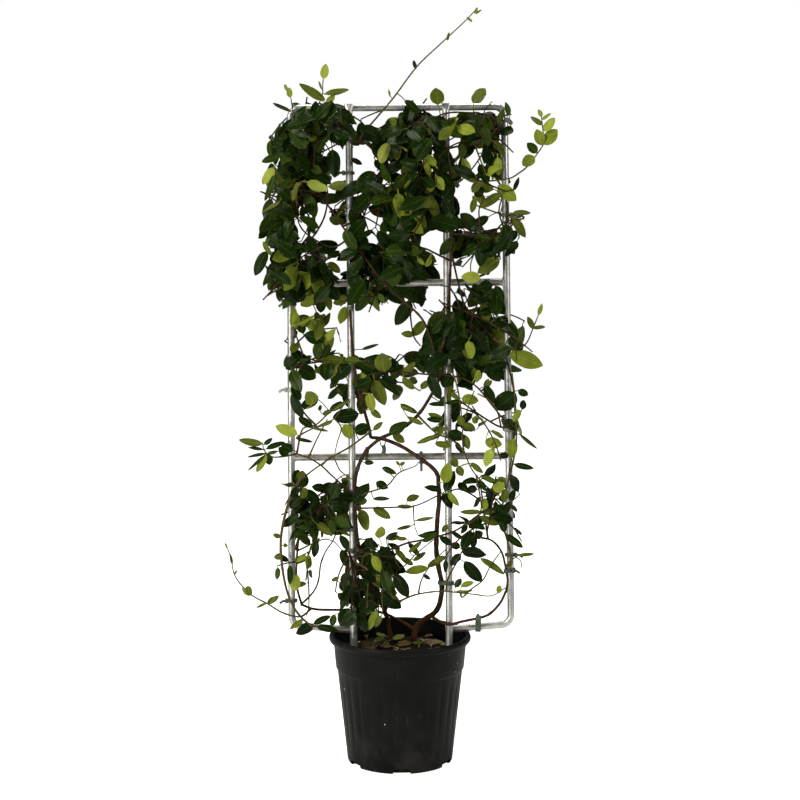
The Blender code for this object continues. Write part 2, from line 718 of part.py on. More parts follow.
def grow_shoot(name, limbs, material, rack):
    """A long thin shoot with its few leaves, fused."""
    parent, waypoints, leaves = SHOOTS[name]
    route = [Vector(point) * MM for point in waypoints]
    start, first_normal = joint(limbs[parent], route, TWIG_RADIUS)
    route[0] = start
    path = smooth_path(route, 1)
    axis = Limb(path, tapered(path, TWIG_RADIUS, TWIG_TIP_RADIUS))
    shapes = [tube(axis.path, axis.radii, SHOOT_SIDES, first_normal)]
    for share, turn, size in leaves:
        place = min(share * (len(path) - 1), len(path) - 1.001)
        before, after = path[int(place)], path[int(place) + 1]
        way = (after - before).normalized()
        root = before.lerp(after, place - int(place))
        side = Matrix.Rotation(math.radians(turn), 3, way) @ way.cross(Vector((0, -1, 0))).normalized()
        along = (way * 0.7 + side).normalized()
        shapes.append(leaf(root, along, Vector((0.1, -1, 0.5)), size, SHOOT_LEAF_CURL))
    return fused(name, shapes, material, rack), axis


def grow_mass(name, limbs, material, rack, obstacles):
    """A mass of leaves: one stem, twigs off it towards its space's edge, a pair of leaves at each knot."""
    parent, _, _, twigs, seed = MASSES[name]
    rng = random.Random(seed)
    space = Space(name)
    growth = Growth(space, obstacles)
    for _ in range(STEM_TRIES):
        middle = space.middle + Vector([rng.uniform(-STEM_STRAY, STEM_STRAY) * half for half in space.half])
        point, way, radius = limbs[parent].nearest(middle)
        out = middle - point
        out = (out - out.dot(way) * way).normalized()
        start = point + out * (radius + GAP)
        far = space.edge(middle - start + STEM_RISE, STEM_SHARE)
        stem = smooth_path([start, start.lerp(middle, 0.5), middle, far], 1)
        shape = tube(stem, tapered(stem, STEM_RADIUS, TWIG_TIP_RADIUS), TWIG_SIDES, out)
        if not touches(shape, obstacles):
            break
    else:
        raise ValueError(f"{name} finds no way for its stem")
    growth.keep(shape)
    turn = rng.uniform(0, 2 * math.pi)
    runs = [(0, stem, 2)]
    for twig_place in range(twigs):
        root = along_path(stem, FIRST_TWIG + (1 - FIRST_TWIG) * twig_place / twigs)
        for _ in range(TWIG_TRIES):
            turn += GOLDEN_ANGLE
            spread = Vector((math.cos(turn), rng.uniform(-0.9, 0.9), math.sin(turn)))
            path = twig_path(root, space.edge(spread, TWIG_SHARE), rng)
            shape = tube(path, tapered(path, TWIG_RADIUS, TWIG_TIP_RADIUS), TWIG_SIDES)
            long_enough = (path[-1] - root).length > KNOT_STEP
            if long_enough and growth.fits(shape, shape[0][TWIG_SIDES:], root_of=0):
                runs.append((len(growth.shapes), path, 1))
                growth.keep(shape)
                break
    twig_count = len(growth.shapes)
    for twig, path, first in runs:
        for place in range(first, len(path)):
            add_pair(growth, twig, path, place, rng)
    print(f"{name}: {len(growth.shapes) - twig_count} leaves on {twig_count} twigs")
    return fused(name, growth.shapes, material, rack)


class Growth:
    """The shapes of one mass so far. A new one keeps to the space and crosses only the twig it grows from."""

    def __init__(self, space, obstacles):
        self.space, self.obstacles = space, obstacles
        self.shapes, self.trees = [], []

    def keep(self, shape):
        self.shapes.append(shape)
        self.trees.append(BVHTree.FromPolygons(*shape))

    def fits(self, shape, free_points, root_of):
        if not all(self.space.holds(one) and clear_of_pot(one) for one in free_points):
            return False
        tree = BVHTree.FromPolygons(*shape)
        others = [other for place, other in enumerate(self.trees) if place != root_of]
        return not any(tree.overlap(other) for other in [self.obstacles, *others])


def along_path(path, share):
    place = min(share * (len(path) - 1), len(path) - 1.001)
    return path[int(place)].lerp(path[int(place) + 1], place - int(place))


def twig_path(root, end, rng):
    """A twig's knots, about as far apart as a leaf is long, on a line that arches a little."""
    steps = max(2, round((end - root).length / KNOT_STEP))
    arch = Vector((rng.uniform(-1, 1), rng.uniform(-1, 1), rng.uniform(0.2, 1.4))) * 0.006
    path = []
    for step in range(steps + 1):
        share = step / steps
        path.append(root.lerp(end, share) + arch * 4 * share * (1 - share))
    return path


def add_pair(growth, twig, path, place, rng):
    """Two leaves, one on each side of a knot; a leaf that finds no room in its tries is left off."""
    knot, space = path[place], growth.space
    way = (knot - path[place - 1]).normalized()
    depth = (knot.y - space.middle.y) / space.half.y
    front = -1.0 if rng.random() < FRONT_SHARE - depth / 2 else 1.0
    for side_sign in (-1, 1):
        root = knot - way * (PAIR_SHIFT + side_sign * PAIR_SHIFT)
        for attempt in range(LEAF_TRIES):
            size = LEAF_SIZES[0] + (LEAF_SIZES[1] - LEAF_SIZES[0]) * attempt / LEAF_TRIES
            facing = Vector((rng.gauss(0, 0.45), rng.gauss(front, 0.4), rng.gauss(0.5, 0.35))).normalized()
            side = way.cross(facing).normalized() * side_sign
            droop = Vector((0, 0, -0.25 + rng.gauss(0, 0.3)))
            along = (way * rng.uniform(0.2, 0.9) + side + droop).normalized()
            shape = leaf(root, along, facing, size * rng.uniform(0.9, 1.0), rng.uniform(0.0, 0.12))
            blade = shape[0][1:]
            if not any(in_opening(one) for one in blade) and growth.fits(shape, blade, root_of=twig):
                growth.keep(shape)
                break


# ---------------------------------------------------------------- the whole plant


def main():
    for obj in list(bpy.data.objects):
        bpy.data.objects.remove(obj)
    black_plastic = finish("black_plastic", (0.020, 0.021, 0.022), 0.55)
    peat = finish("peat_soil", (0.030, 0.020, 0.012), 0.95)
    zinc = finish("galvanised_tube", (0.62, 0.63, 0.64), 0.42, 1.0)
    band = finish("tie_plastic", (0.22, 0.26, 0.22), 0.5)
    bark = finish("stem_bark", (0.105, 0.045, 0.028), 0.8)
    leaf_green = finish("leaf_green", (0.022, 0.052, 0.010), 0.38)
    young_green = finish("young_leaf_green", (0.160, 0.220, 0.035), 0.42)

    rack = bpy.data.objects.new("rack_lean", None)
    bpy.context.scene.collection.objects.link(rack)
    rack.matrix_world = LEAN
    pot(black_plastic)
    soil(peat, rack)

    obstacle_shapes = []
    for name, (path, first_normal, last_normal) in rack_tubes().items():
        shape = tube(path, [TUBE_RADIUS] * len(path), TUBE_SIDES, first_normal, last_normal)
        shade_round(solid(name, shape, zinc, rack))
        obstacle_shapes.append(tube(path, [TUBE_RADIUS + CLEARANCE] * len(path), TUBE_SIDES))

    limbs = {}
    for name in LIMBS:
        limbs[name], first_normal = lay_limb(name, limbs)
        limb = limbs[name]
        shade_round(solid(name, tube(limb.path, limb.radii, LIMB_SIDES, first_normal), bark, rack))
        wide = [radius + CLEARANCE for radius in limb.radii]
        obstacle_shapes.append(tube(limb.path, wide, LIMB_SIDES))

    ties = {
        "tie_left_leg": (Vector((-LEG_ACROSS, LEG_DEPTH, 0.107)), "stem_left_low", Vector((0, 0, 1))),
        "tie_right_leg": (Vector((LEG_ACROSS, LEG_DEPTH, 0.062)), "stem_right_low", Vector((0, 0, 1))),
        "tie_right_post": (Vector((post_across(0.078), 0, 0.078)), "loop_right_high", Vector((0, 0, 1))),
        "tie_right_foot": (Vector((0.102, 0, 0.0018)), "loop_right_low", Vector((1, 0, 0))),
    }
    for name, (centre, limb_name, axis) in ties.items():
        stem, _, radius = limbs[limb_name].nearest(centre)
        stem = stem - (stem - centre).dot(axis) * axis
        shape = tie(centre, stem, radius, axis)
        solid(name, shape, band, rack)
        obstacle_shapes.append(shape)

    for name in SHOOTS:
        _, axis = grow_shoot(name, limbs, young_green, rack)
        wide = [radius + CLEARANCE for radius in axis.radii]
        obstacle_shapes.append(tube(axis.path, wide, SHOOT_SIDES))
    for name in SHOOTS:
        made = bpy.data.objects[name]
        points = [vertex.co.copy() for vertex in made.data.vertices]
        obstacle_shapes.append((points, [tuple(face.vertices) for face in made.data.polygons]))
    obstacles = tree_of(obstacle_shapes)
    for name in MASSES:
        grow_mass(name, limbs, leaf_green, rack, obstacles)


def tree_of(shapes):
    points, faces = [], []
    for shape_points, shape_faces in shapes:
        first = len(points)
        points += shape_points
        faces += [tuple(first + corner for corner in face) for face in shape_faces]
    return BVHTree.FromPolygons(points, faces)


main()
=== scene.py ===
# %% [markdown]
# # A star jasmine on its rack
# A young climbing jasmine grows in a black nursery pot. Two legs of zinc-plated tube stand in the soil and carry a
# rack that the plant winds through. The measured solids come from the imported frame, and this script gives every
# one of them its looks.

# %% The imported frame
import itertools
import math
import random

import bmesh
import bpy
import numpy as np
from mathutils import Euler, Matrix, Vector, noise
from mathutils.bvhtree import BVHTree
from mathutils.kdtree import KDTree


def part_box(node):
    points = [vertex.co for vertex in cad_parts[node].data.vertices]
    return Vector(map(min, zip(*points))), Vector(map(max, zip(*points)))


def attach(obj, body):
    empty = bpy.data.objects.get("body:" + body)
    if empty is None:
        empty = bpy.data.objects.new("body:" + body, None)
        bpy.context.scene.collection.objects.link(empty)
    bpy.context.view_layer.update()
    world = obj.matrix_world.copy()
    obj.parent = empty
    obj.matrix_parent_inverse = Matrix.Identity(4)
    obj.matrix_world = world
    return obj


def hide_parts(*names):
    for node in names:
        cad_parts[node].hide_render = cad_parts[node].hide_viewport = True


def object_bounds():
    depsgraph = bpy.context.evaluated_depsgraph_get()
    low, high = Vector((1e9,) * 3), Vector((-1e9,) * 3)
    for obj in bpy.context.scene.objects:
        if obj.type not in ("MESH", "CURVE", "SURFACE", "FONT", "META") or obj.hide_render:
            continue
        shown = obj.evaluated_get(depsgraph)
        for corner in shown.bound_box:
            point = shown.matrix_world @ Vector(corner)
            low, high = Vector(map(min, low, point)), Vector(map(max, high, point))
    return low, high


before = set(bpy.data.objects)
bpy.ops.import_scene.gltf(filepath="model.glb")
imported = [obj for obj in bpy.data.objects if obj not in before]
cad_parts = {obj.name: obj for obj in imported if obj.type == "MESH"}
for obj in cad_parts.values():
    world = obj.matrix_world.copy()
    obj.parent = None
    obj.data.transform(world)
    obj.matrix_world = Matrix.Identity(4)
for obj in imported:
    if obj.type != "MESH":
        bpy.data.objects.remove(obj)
cad_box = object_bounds()
MM = 0.001
print("solids in the frame:", len(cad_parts))

# %% [markdown]
# ## Camera and light
# The camera comes first, because every piece is judged through it. It stands about two and a half metres off, a
# little above the middle of the plant, and looks slightly down. A long lens keeps the uprights of the rack nearly
# parallel. The light is soft: a large window on the left, a low one, and two weaker panels that fill the shadows.

# %% Camera
CAMERA_PLACE = (0.0, -2.476, 0.789)
CAMERA_TILT = math.radians(7)
LENS = 85.5  # mm, on a sensor 36 mm wide


def show(name, data):
    """Puts an object that holds this data into the scene."""
    made = bpy.data.objects.new(name, data)
    bpy.context.scene.collection.objects.link(made)
    return made


lens = bpy.data.cameras.new("camera")
lens.lens = LENS
lens.sensor_width = 36
camera = show("camera", lens)
camera.location = CAMERA_PLACE
camera.rotation_euler = (math.radians(90) - CAMERA_TILT, 0, 0)
bpy.context.scene.camera = camera
print(f"camera {-CAMERA_PLACE[1]:.2f} m away, tilted {math.degrees(CAMERA_TILT):.0f} degrees down")

# %% Lights
LIGHTS = {  # name: place, width and height of the panel in metres, watts
    "window_left": ((-1.9, -1.5, 2.1), (1.1, 1.1), 52),
    "window_low": ((-1.3, -1.5, 0.40), (1.5, 0.25), 11),  # its gleam runs down the tubes at mid height
    "panel_right": ((2.1, -1.2, 1.3), (0.9, 0.9), 18),
    "panel_over": ((0.1, 0.5, 2.6), (1.4, 1.4), 38),
}
AIM = Vector((0, 0, 0.55))
LAMP_TINT = (1.0, 0.965, 0.85)

for name, (place, sides, watts) in LIGHTS.items():
    panel = bpy.data.lights.new(name, "AREA")
    panel.shape = "RECTANGLE"
    panel.size, panel.size_y = sides
    panel.energy = watts
    panel.color = LAMP_TINT
    lamp = show(name, panel)
    lamp.location = place
    lamp.rotation_euler = (AIM - Vector(place)).to_track_quat("-Z", "Y").to_euler()
print("lights:", ", ".join(LIGHTS))

# %% [markdown]
# ## Helpers for meshes
# Nearly everything here is a sweep (tube, stem, twig), a turned body (pot) or a leaf. Each helper returns plain
# lists of points and faces, so that many small shapes can be joined into one mesh, which is lighter than hundreds
# of objects. A `Heap` collects such shapes, each with its own finish, and turns them into one object at the end.

# %% Heap of shapes


class Heap:
    """Shapes gathered for one piece. Each face remembers its finish, and each point its place on a leaf."""

    def __init__(self):
        self.points, self.faces, self.finishes, self.spots = [], [], [], []

    def add(self, points, faces, finish, spots=None):
        first = len(self.points)
        self.points += [tuple(point) for point in points]
        self.faces += [tuple(first + corner for corner in face) for face in faces]
        self.finishes += finish if isinstance(finish, list) else [finish] * len(faces)
        self.spots += spots if spots else [(0.0, 0.0)] * len(points)

    def __len__(self):
        return len(self.faces)


def build(name, heap, sharp=40, place=None, replaces=()):
    """One smooth-shaded object from a heap. It rides on the root body and may stand for solids of the frame."""
    mesh = bpy.data.meshes.new(name)
    mesh.from_pydata(heap.points, [], heap.faces)
    materials = list(dict.fromkeys(heap.finishes))
    for one in materials:
        mesh.materials.append(one)
    index = {one: number for number, one in enumerate(materials)}
    mesh.polygons.foreach_set("material_index", [index[one] for one in heap.finishes])
    spots = mesh.uv_layers.new(name="leaf_spot")
    corners = np.empty(len(mesh.loops), np.int32)
    mesh.loops.foreach_get("vertex_index", corners)
    spots.data.foreach_set("uv", np.array(heap.spots, np.float32)[corners].ravel())
    mesh.shade_smooth()
    mesh.set_sharp_from_angle(angle=math.radians(sharp))
    if place is not None:
        mesh.transform(place)
    made = show(name, mesh)
    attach(made, "root")
    if replaces:
        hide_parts(*replaces)
    return made


# %% Curves and sweeps


def smooth_path(route, steps):
    """A curve through a route's points, with steps pieces between each two of them."""
    ends = [2 * route[0] - route[1], *route, 2 * route[-1] - route[-2]]
    path = [route[0].copy()]
    for before, start, end, after in zip(ends, ends[1:], ends[2:], ends[3:]):
        for step in range(1, steps + 1):
            share = step / steps
            even = start.lerp(end, share * share * (3 - 2 * share))
            lead = (end - before) / 2 * share * (1 - share) ** 2
            trail = (after - start) / 2 * share**2 * (1 - share)
            path.append(even + lead - trail)
    return path


def lengths_along(path):
    lengths = [0.0]
    for before, after in zip(path, path[1:]):
        lengths.append(lengths[-1] + (after - before).length)
    return lengths


def even_path(path, spacing):
    """The same curve with its points set evenly, about a spacing apart."""
    lengths = lengths_along(path)
    count = max(2, round(lengths[-1] / spacing) + 1)
    even, place = [], 0
    for step in range(count):
        target = lengths[-1] * step / (count - 1)
        while place < len(path) - 2 and lengths[place + 1] < target:
            place += 1
        share = (target - lengths[place]) / max(lengths[place + 1] - lengths[place], 1e-9)
        even.append(path[place].lerp(path[place + 1], share))
    return even


def tapered(path, start_radius, end_radius):
    lengths = lengths_along(path)
    return [start_radius + (end_radius - start_radius) * length / lengths[-1] for length in lengths]


def circle(radius, count):
    """Points on a circle, as (x, y) pairs."""
    turns = [math.tau * side / count for side in range(count)]
    return [(radius * math.cos(turn), radius * math.sin(turn)) for turn in turns]


def skin(rings):
    """Faces between rings of points that follow each other. A ring of one point is a tip."""
    faces = []
    for low, high in zip(rings, rings[1:]):
        count = max(len(low), len(high))
        for side in range(count):
            after = (side + 1) % count
            if len(low) == 1:
                faces.append((low[0], high[after], high[side]))
            elif len(high) == 1:
                faces.append((low[side], low[after], high[0]))
            else:
                faces.append((low[side], low[after], high[after], high[side]))
    return faces


def caps(rings):
    return [tuple(reversed(rings[0])), tuple(rings[-1])]


def flipped(faces):
    """The same faces, seen from their other side."""
    return [(face[0], *face[:0:-1]) for face in faces]


def sweep(path, radii, sides, relief=None, flat=None):
    """A capped tube along a path. relief(ring, turn) is added to the radius, and flat(ring) squeezes a ring."""
    points = []
    tangents = [(after - before).normalized() for before, after in zip(path, path[1:])]
    tangents.append(tangents[-1].copy())
    normals = [tangents[0]] + [(a + b).normalized() for a, b in zip(tangents, tangents[1:-1])] + [tangents[-1]]
    side_way = normals[0].orthogonal().normalized()
    if abs(normals[0].y) < 0.9:
        side_way = Vector((0, 1, 0)).cross(normals[0]).normalized()
    for ring, (centre, normal, radius) in enumerate(zip(path, normals, radii)):
        side_way = (side_way - side_way.dot(normal) * normal).normalized()
        up_way = normal.cross(side_way)
        wide, deep = flat(ring) if flat else (1.0, 1.0)
        for side in range(sides):
            turn = math.tau * side / sides
            reach = radius + (relief(ring, turn) if relief else 0.0)
            points.append(centre + reach * (wide * math.cos(turn) * side_way + deep * math.sin(turn) * up_way))
    rings = [range(first, first + sides) for first in range(0, len(points), sides)]
    return points, skin(rings) + caps(rings)


def turned(profile, sides, ripple=None):
    """A body turned about Z from (radius, height) pairs. ripple(place, turn) is added to the radius."""
    points, rings = [], []
    for place, (radius, height) in enumerate(profile):
        count = 1 if radius == 0 else sides
        rings.append(range(len(points), len(points) + count))
        for side in range(count):
            turn = math.tau * side / sides
            reach = radius + (ripple(place, turn) if ripple and radius else 0.0)
            points.append(Vector((reach * math.sin(turn), -reach * math.cos(turn), height)))
    return points, skin(rings)


# %% [markdown]
# ## Helpers for finishes
# Each finish is a Principled material of its own. Effects that several finishes share are node groups: fine grain,
# mottled colour, and specks of lime and dust. A group only puts out a colour, a mask or a height, and the material
# decides what to do with it. All of them read Object coordinates, which here are metres.

# %% Node helpers
def feed(tree, socket, value):
    """Sets a socket, or links it when the value is another node's output."""
    if isinstance(value, bpy.types.NodeSocket):
        tree.links.new(value, socket)
    elif isinstance(value, tuple) and len(value) == 3 and socket.type == "RGBA":
        socket.default_value = (*value, 1.0)
    else:
        socket.default_value = value


def fill(tree, made, **inputs):
    """Feeds a node's sockets by name, with _ for a space."""
    for name, value in inputs.items():
        feed(tree, made.inputs[name.replace("_", " ")], value)
    return made


def node(tree, kind, settings=None, **inputs):
    made = tree.nodes.new("ShaderNode" + kind)
    for name, value in (settings or {}).items():
        setattr(made, name, value)
    return fill(tree, made, **inputs)


def calc(tree, operation, *values):
    made = node(tree, "Math", {"operation": operation})
    for socket, value in zip(made.inputs, values):
        feed(tree, socket, value)
    return made.outputs[0]


def blend(tree, share, first, second, way="MIX"):
    """A colour between two others, or the first multiplied by the second."""
    made = node(tree, "Mix", {"data_type": "RGBA", "blend_type": way})
    colours = [socket for socket in made.inputs if socket.type == "RGBA"]
    for socket, value in zip((made.inputs["Factor"], *colours), (share, first, second)):
        feed(tree, socket, value)
    return [socket for socket in made.outputs if socket.type == "RGBA"][0]


def ramp(tree, value, low, high):
    """Nought below low, one above high, and smooth between."""
    settings = {"interpolation_type": "SMOOTHSTEP"}
    return node(tree, "MapRange", settings, Value=value, From_Min=low, From_Max=high).outputs[0]


def where(tree):
    """The place on the object, in metres."""
    return node(tree, "TexCoord").outputs["Object"]


def height_of(tree):
    return node(tree, "SeparateXYZ", Vector=where(tree)).outputs["Z"]


def cloudy(tree, place, scale, detail, **more):
    """Smooth noise between nought and one."""
    return node(tree, "TexNoise", Vector=place, Scale=scale, Detail=detail, **more).outputs[0]


def new_group(name, inputs, outputs):
    """A node group. A tuple makes a colour socket, and so does the output Colour."""
    group = bpy.data.node_groups.new(name, "ShaderNodeTree")
    for label, value in inputs.items():
        kind = "Color" if isinstance(value, tuple) else "Float"
        socket = group.interface.new_socket(label, in_out="INPUT", socket_type="NodeSocket" + kind)
        socket.default_value = (*value, 1.0) if kind == "Color" else value
    for label in outputs:
        kind = "Color" if label == "Colour" else "Float"
        group.interface.new_socket(label, in_out="OUTPUT", socket_type="NodeSocket" + kind)
    return group, group.nodes.new("NodeGroupInput").outputs, group.nodes.new("NodeGroupOutput")


def use(tree, group, **inputs):
    """A group placed in a tree with its own values. It gives back the group's outputs."""
    return fill(tree, node(tree, "Group", {"node_tree": group}), **inputs).outputs


def principled(name, **constants):
    """A material, its tree and its shader, with the plain numbers set on the shader itself."""
    material = bpy.data.materials.new(name)
    material.use_nodes = True
    tree = material.node_tree
    return material, tree, fill(tree, tree.nodes["Principled BSDF"], **constants)


def relief(tree, shader, height, depth, strength):
    """Fine relief: a height between nought and one, and how deep one is in metres."""
    bump = node(tree, "Bump", Height=height, Distance=depth, Strength=strength)
    fill(tree, shader, Normal=bump.outputs[0])

# %% Shared effects
fine_grain, given, out = new_group("fine_grain", {"Scale": 400.0, "Detail": 4.0}, ["Height"])
fill(fine_grain, out, Height=cloudy(fine_grain, where(fine_grain), given["Scale"], given["Detail"]))

mottle, given, out = new_group(
    "mottle", {"First": (0.1, 0.1, 0.1), "Second": (0.2, 0.2, 0.2), "Scale": 30.0, "Contrast": 0.5},
    ["Colour", "Mask"],
)
away = calc(mottle, "SUBTRACT", cloudy(mottle, where(mottle), given["Scale"], 5.0), 0.5)
away = calc(mottle, "MULTIPLY_ADD", away, calc(mottle, "MULTIPLY", given["Contrast"], 6.0), 0.5)
away = calc(mottle, "MINIMUM", calc(mottle, "MAXIMUM", away, 0.0), 1.0)
fill(mottle, out, Mask=away, Colour=blend(mottle, away, given["First"], given["Second"]))

specks, given, out = new_group("specks", {"Scale": 120.0, "Size": 0.12, "Share": 0.5}, ["Mask"])
cells = node(specks, "TexVoronoi", Vector=where(specks), Scale=given["Scale"], Randomness=1.0).outputs
chance = node(specks, "SeparateColor", Color=cells["Color"]).outputs
dot = calc(specks, "LESS_THAN", cells["Distance"], calc(specks, "MULTIPLY", given["Size"], chance[1]))
kept = calc(specks, "LESS_THAN", chance[0], given["Share"])
fill(specks, out, Mask=calc(specks, "MULTIPLY", dot, kept))
print("shared effects:", fine_grain.name, mottle.name, specks.name)


def grained(tree, shader, scale, detail, depth, strength):
    """Fine grain as relief."""
    relief(tree, shader, use(tree, fine_grain, Scale=scale, Detail=detail)["Height"], depth, strength)


def mottled_finish(name, mottling, grain=None, swing=None, **constants):
    """A finish of two mottled colours. swing is how far they move the roughness, and from where."""
    material, tree, shader = principled(name, **constants)
    first, second, scale, contrast = mottling
    base = use(tree, mottle, First=first, Second=second, Scale=scale, Contrast=contrast)
    fill(tree, shader, Base_Color=base["Colour"])
    if swing:
        fill(tree, shader, Roughness=calc(tree, "MULTIPLY_ADD", base["Mask"], *swing))
    if grain:
        grained(tree, shader, *grain)
    return material

# %% [markdown]
# ## The pot
# A nursery pot is moulded from thin black plastic: a straight taper with shallow flutes that stiffen it, a plain
# collar, a rolled rim, and six bevelled notches that let water out at the foot. A turned profile gives that, with
# the flutes as a ripple of its radius. One Boolean cuts the notches, so that their edges show the wall's thickness.

# %% Pot sizes
POT_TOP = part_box("pot")[1].z
RIM_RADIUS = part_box("pot")[1].x
BASE_RADIUS = 0.070
BODY_TOP_RADIUS, BODY_TOP = 0.0835, 0.125
COLLAR_FOOT_RADIUS, COLLAR_FOOT = 0.0855, 0.128
COLLAR_TOP_RADIUS, COLLAR_TOP = 0.0885, 0.1625
RIM_HEIGHT, RIM_DEPTH = POT_TOP - COLLAR_TOP, 0.0060
WALL, FLOOR = 0.0015, 0.003
FLUTES, FLUTE_DEPTH = 30, 0.0009
SIDES_PER_FLUTE = 8
NOTCHES, NOTCH_TURN = 6, math.radians(2)
NOTCH_WIDTH, NOTCH_HEIGHT, NOTCH_CORNER = 0.023, 0.007, 0.002
NOTCH_REACH = (0.062, BASE_RADIUS + 0.005)
print(f"pot {2000 * RIM_RADIUS:.0f} mm across the rim, {1000 * POT_TOP:.0f} mm high")

# %% Pot profile
BODY_RINGS = 12


def wall_radius(height):
    """The outer radius of the tapering wall, below the collar and in it."""
    if height <= BODY_TOP:
        return BASE_RADIUS + (BODY_TOP_RADIUS - BASE_RADIUS) * height / BODY_TOP
    share = (height - COLLAR_FOOT) / (COLLAR_TOP - COLLAR_FOOT)
    return COLLAR_FOOT_RADIUS + (COLLAR_TOP_RADIUS - COLLAR_FOOT_RADIUS) * share


def pot_profile():
    """(radius, height) round the wall's section, and how deep the flutes are at each."""
    section = [(0.0, 0.0, 0.0), (BASE_RADIUS - 0.0020, 0.0, 0.0), (BASE_RADIUS - 0.0005, 0.0006, 0.0)]
    for ring in range(BODY_RINGS + 1):
        height = 0.0025 + (BODY_TOP - 0.0035) * ring / BODY_RINGS
        fade = min(1.0, 2.2 * ring / BODY_RINGS, 6.0 * (BODY_RINGS - ring) / BODY_RINGS)
        section.append((wall_radius(height), height, fade))
    section += [(BODY_TOP_RADIUS + 0.0003, BODY_TOP + 0.0005, 0.0),
                (COLLAR_FOOT_RADIUS - 0.0004, COLLAR_FOOT - 0.0008, 0.0),
                (COLLAR_FOOT_RADIUS, COLLAR_FOOT + 0.0006, 0.0)]
    for share in (0.35, 0.7, 1.0):
        height = COLLAR_FOOT + (COLLAR_TOP - COLLAR_FOOT) * share
        section.append((wall_radius(height), height - 0.0006 * (share == 1.0), 0.0))
    middle = (RIM_RADIUS - RIM_DEPTH / 2, COLLAR_TOP + RIM_HEIGHT / 2)
    for step in range(9):
        turn = math.radians(-95 + 190 * step / 8)
        reach, rise = RIM_DEPTH / 2 * math.cos(turn), RIM_HEIGHT / 2 * math.sin(turn)
        section.append((middle[0] + reach, middle[1] + rise, 0.0))
    inside = [(RIM_RADIUS - RIM_DEPTH - 0.0006, POT_TOP - 0.0012), (COLLAR_TOP_RADIUS - WALL, COLLAR_TOP),
              (BODY_TOP_RADIUS - WALL, BODY_TOP), (BASE_RADIUS - WALL, FLOOR), (0.0, FLOOR)]
    return section + [(radius, height, 0.0) for radius, height in inside]


def notch_cutter(number):
    half, shoulder = NOTCH_WIDTH / 2, NOTCH_HEIGHT - NOTCH_CORNER
    outline = [(-half, -0.001), (half, -0.001), (half, shoulder), (half - NOTCH_CORNER, NOTCH_HEIGHT),
               (NOTCH_CORNER - half, NOTCH_HEIGHT), (-half, shoulder)]
    turn = Matrix.Rotation(NOTCH_TURN + number * math.tau / NOTCHES, 3, "Z")
    points = [turn @ Vector((across, -reach, height)) for reach in NOTCH_REACH for across, height in outline]
    rings = [range(len(outline)), range(len(outline), len(points))]
    return points, skin(rings) + caps(rings)


# %% [markdown]
# ### Pot finish
# The plastic is never quite black: it is scuffed grey where pots rub together, has a dull bloom of dried water low
# down, and a few white specks of lime. Soft noise makes the bloom, stretched noise the scuffs, and specks the lime.

# %% Pot plastic
material, tree, shader = principled("pot_plastic", Specular_IOR_Level=0.09)
base = use(tree, mottle, First=(0.0042, 0.0046, 0.0052), Second=(0.0085, 0.0091, 0.0100), Scale=22.0, Contrast=0.5)
stretched = node(tree, "Mapping", Vector=where(tree), Scale=(1.0, 1.0, 0.12)).outputs[0]
scuffed = calc(tree, "MULTIPLY", ramp(tree, cloudy(tree, stretched, 260.0, 3.0), 0.60, 0.80), base["Mask"])
low = calc(tree, "SUBTRACT", 1.0, ramp(tree, height_of(tree), 0.0, 0.07))
bloom = calc(tree, "MULTIPLY", low, ramp(tree, cloudy(tree, where(tree), 35.0, 6.0), 0.42, 0.72))
colour = blend(tree, calc(tree, "MULTIPLY", scuffed, 0.45), base["Colour"], (0.05, 0.052, 0.055))
colour = blend(tree, calc(tree, "MULTIPLY", bloom, 0.4), colour, (0.06, 0.056, 0.05))
lime = use(tree, specks, Scale=95.0, Size=0.13, Share=0.10)["Mask"]
rough = calc(tree, "MULTIPLY_ADD", bloom, 0.25, calc(tree, "MULTIPLY_ADD", base["Mask"], 0.14, 0.36))
fill(tree, shader, Base_Color=blend(tree, lime, colour, (0.62, 0.62, 0.60)), Roughness=rough)
grained(tree, shader, 650.0, 3.0, 0.00016, 0.6)
POT_PLASTIC = material

# %% Pot
section = pot_profile()


def flutes(place, turn):
    """How far the wall stands back at a place of its profile."""
    return -FLUTE_DEPTH * section[place][2] * (0.5 - 0.5 * math.cos(FLUTES * turn)) ** 3


heap, cutters = Heap(), Heap()
heap.add(*turned([row[:2] for row in section], FLUTES * SIDES_PER_FLUTE, flutes), POT_PLASTIC)
pot = build("pot_body", heap, sharp=50, replaces=["pot"])
for number in range(NOTCHES):
    cutters.add(*notch_cutter(number), POT_PLASTIC)
cutter_mesh = bpy.data.meshes.new("pot_notches")
cutter_mesh.from_pydata(cutters.points, [], cutters.faces)
cutter = show("pot_notches", cutter_mesh)
notching = pot.modifiers.new("notches", "BOOLEAN")
notching.object = cutter
notching.solver = "EXACT"
bpy.context.view_layer.update()
pot.data = bpy.data.meshes.new_from_object(pot.evaluated_get(bpy.context.evaluated_depsgraph_get()))
pot.modifiers.clear()
bpy.data.objects.remove(cutter)
print("pot faces:", len(pot.data.polygons))

# %% [markdown]
# ## The rack's frame
# Rack, stems and leaves are laid out in the rack's own frame: across, depth (minus is the front) and height above
# its feet. The rack leans back and a touch to the left, so one matrix carries all of it into place. One bent tube
# makes uprights, top and feet, two legs stand before it in the soil, and two crossbars join the uprights. Each is
# a circle swept along a line, with flattened ends and weld beads.

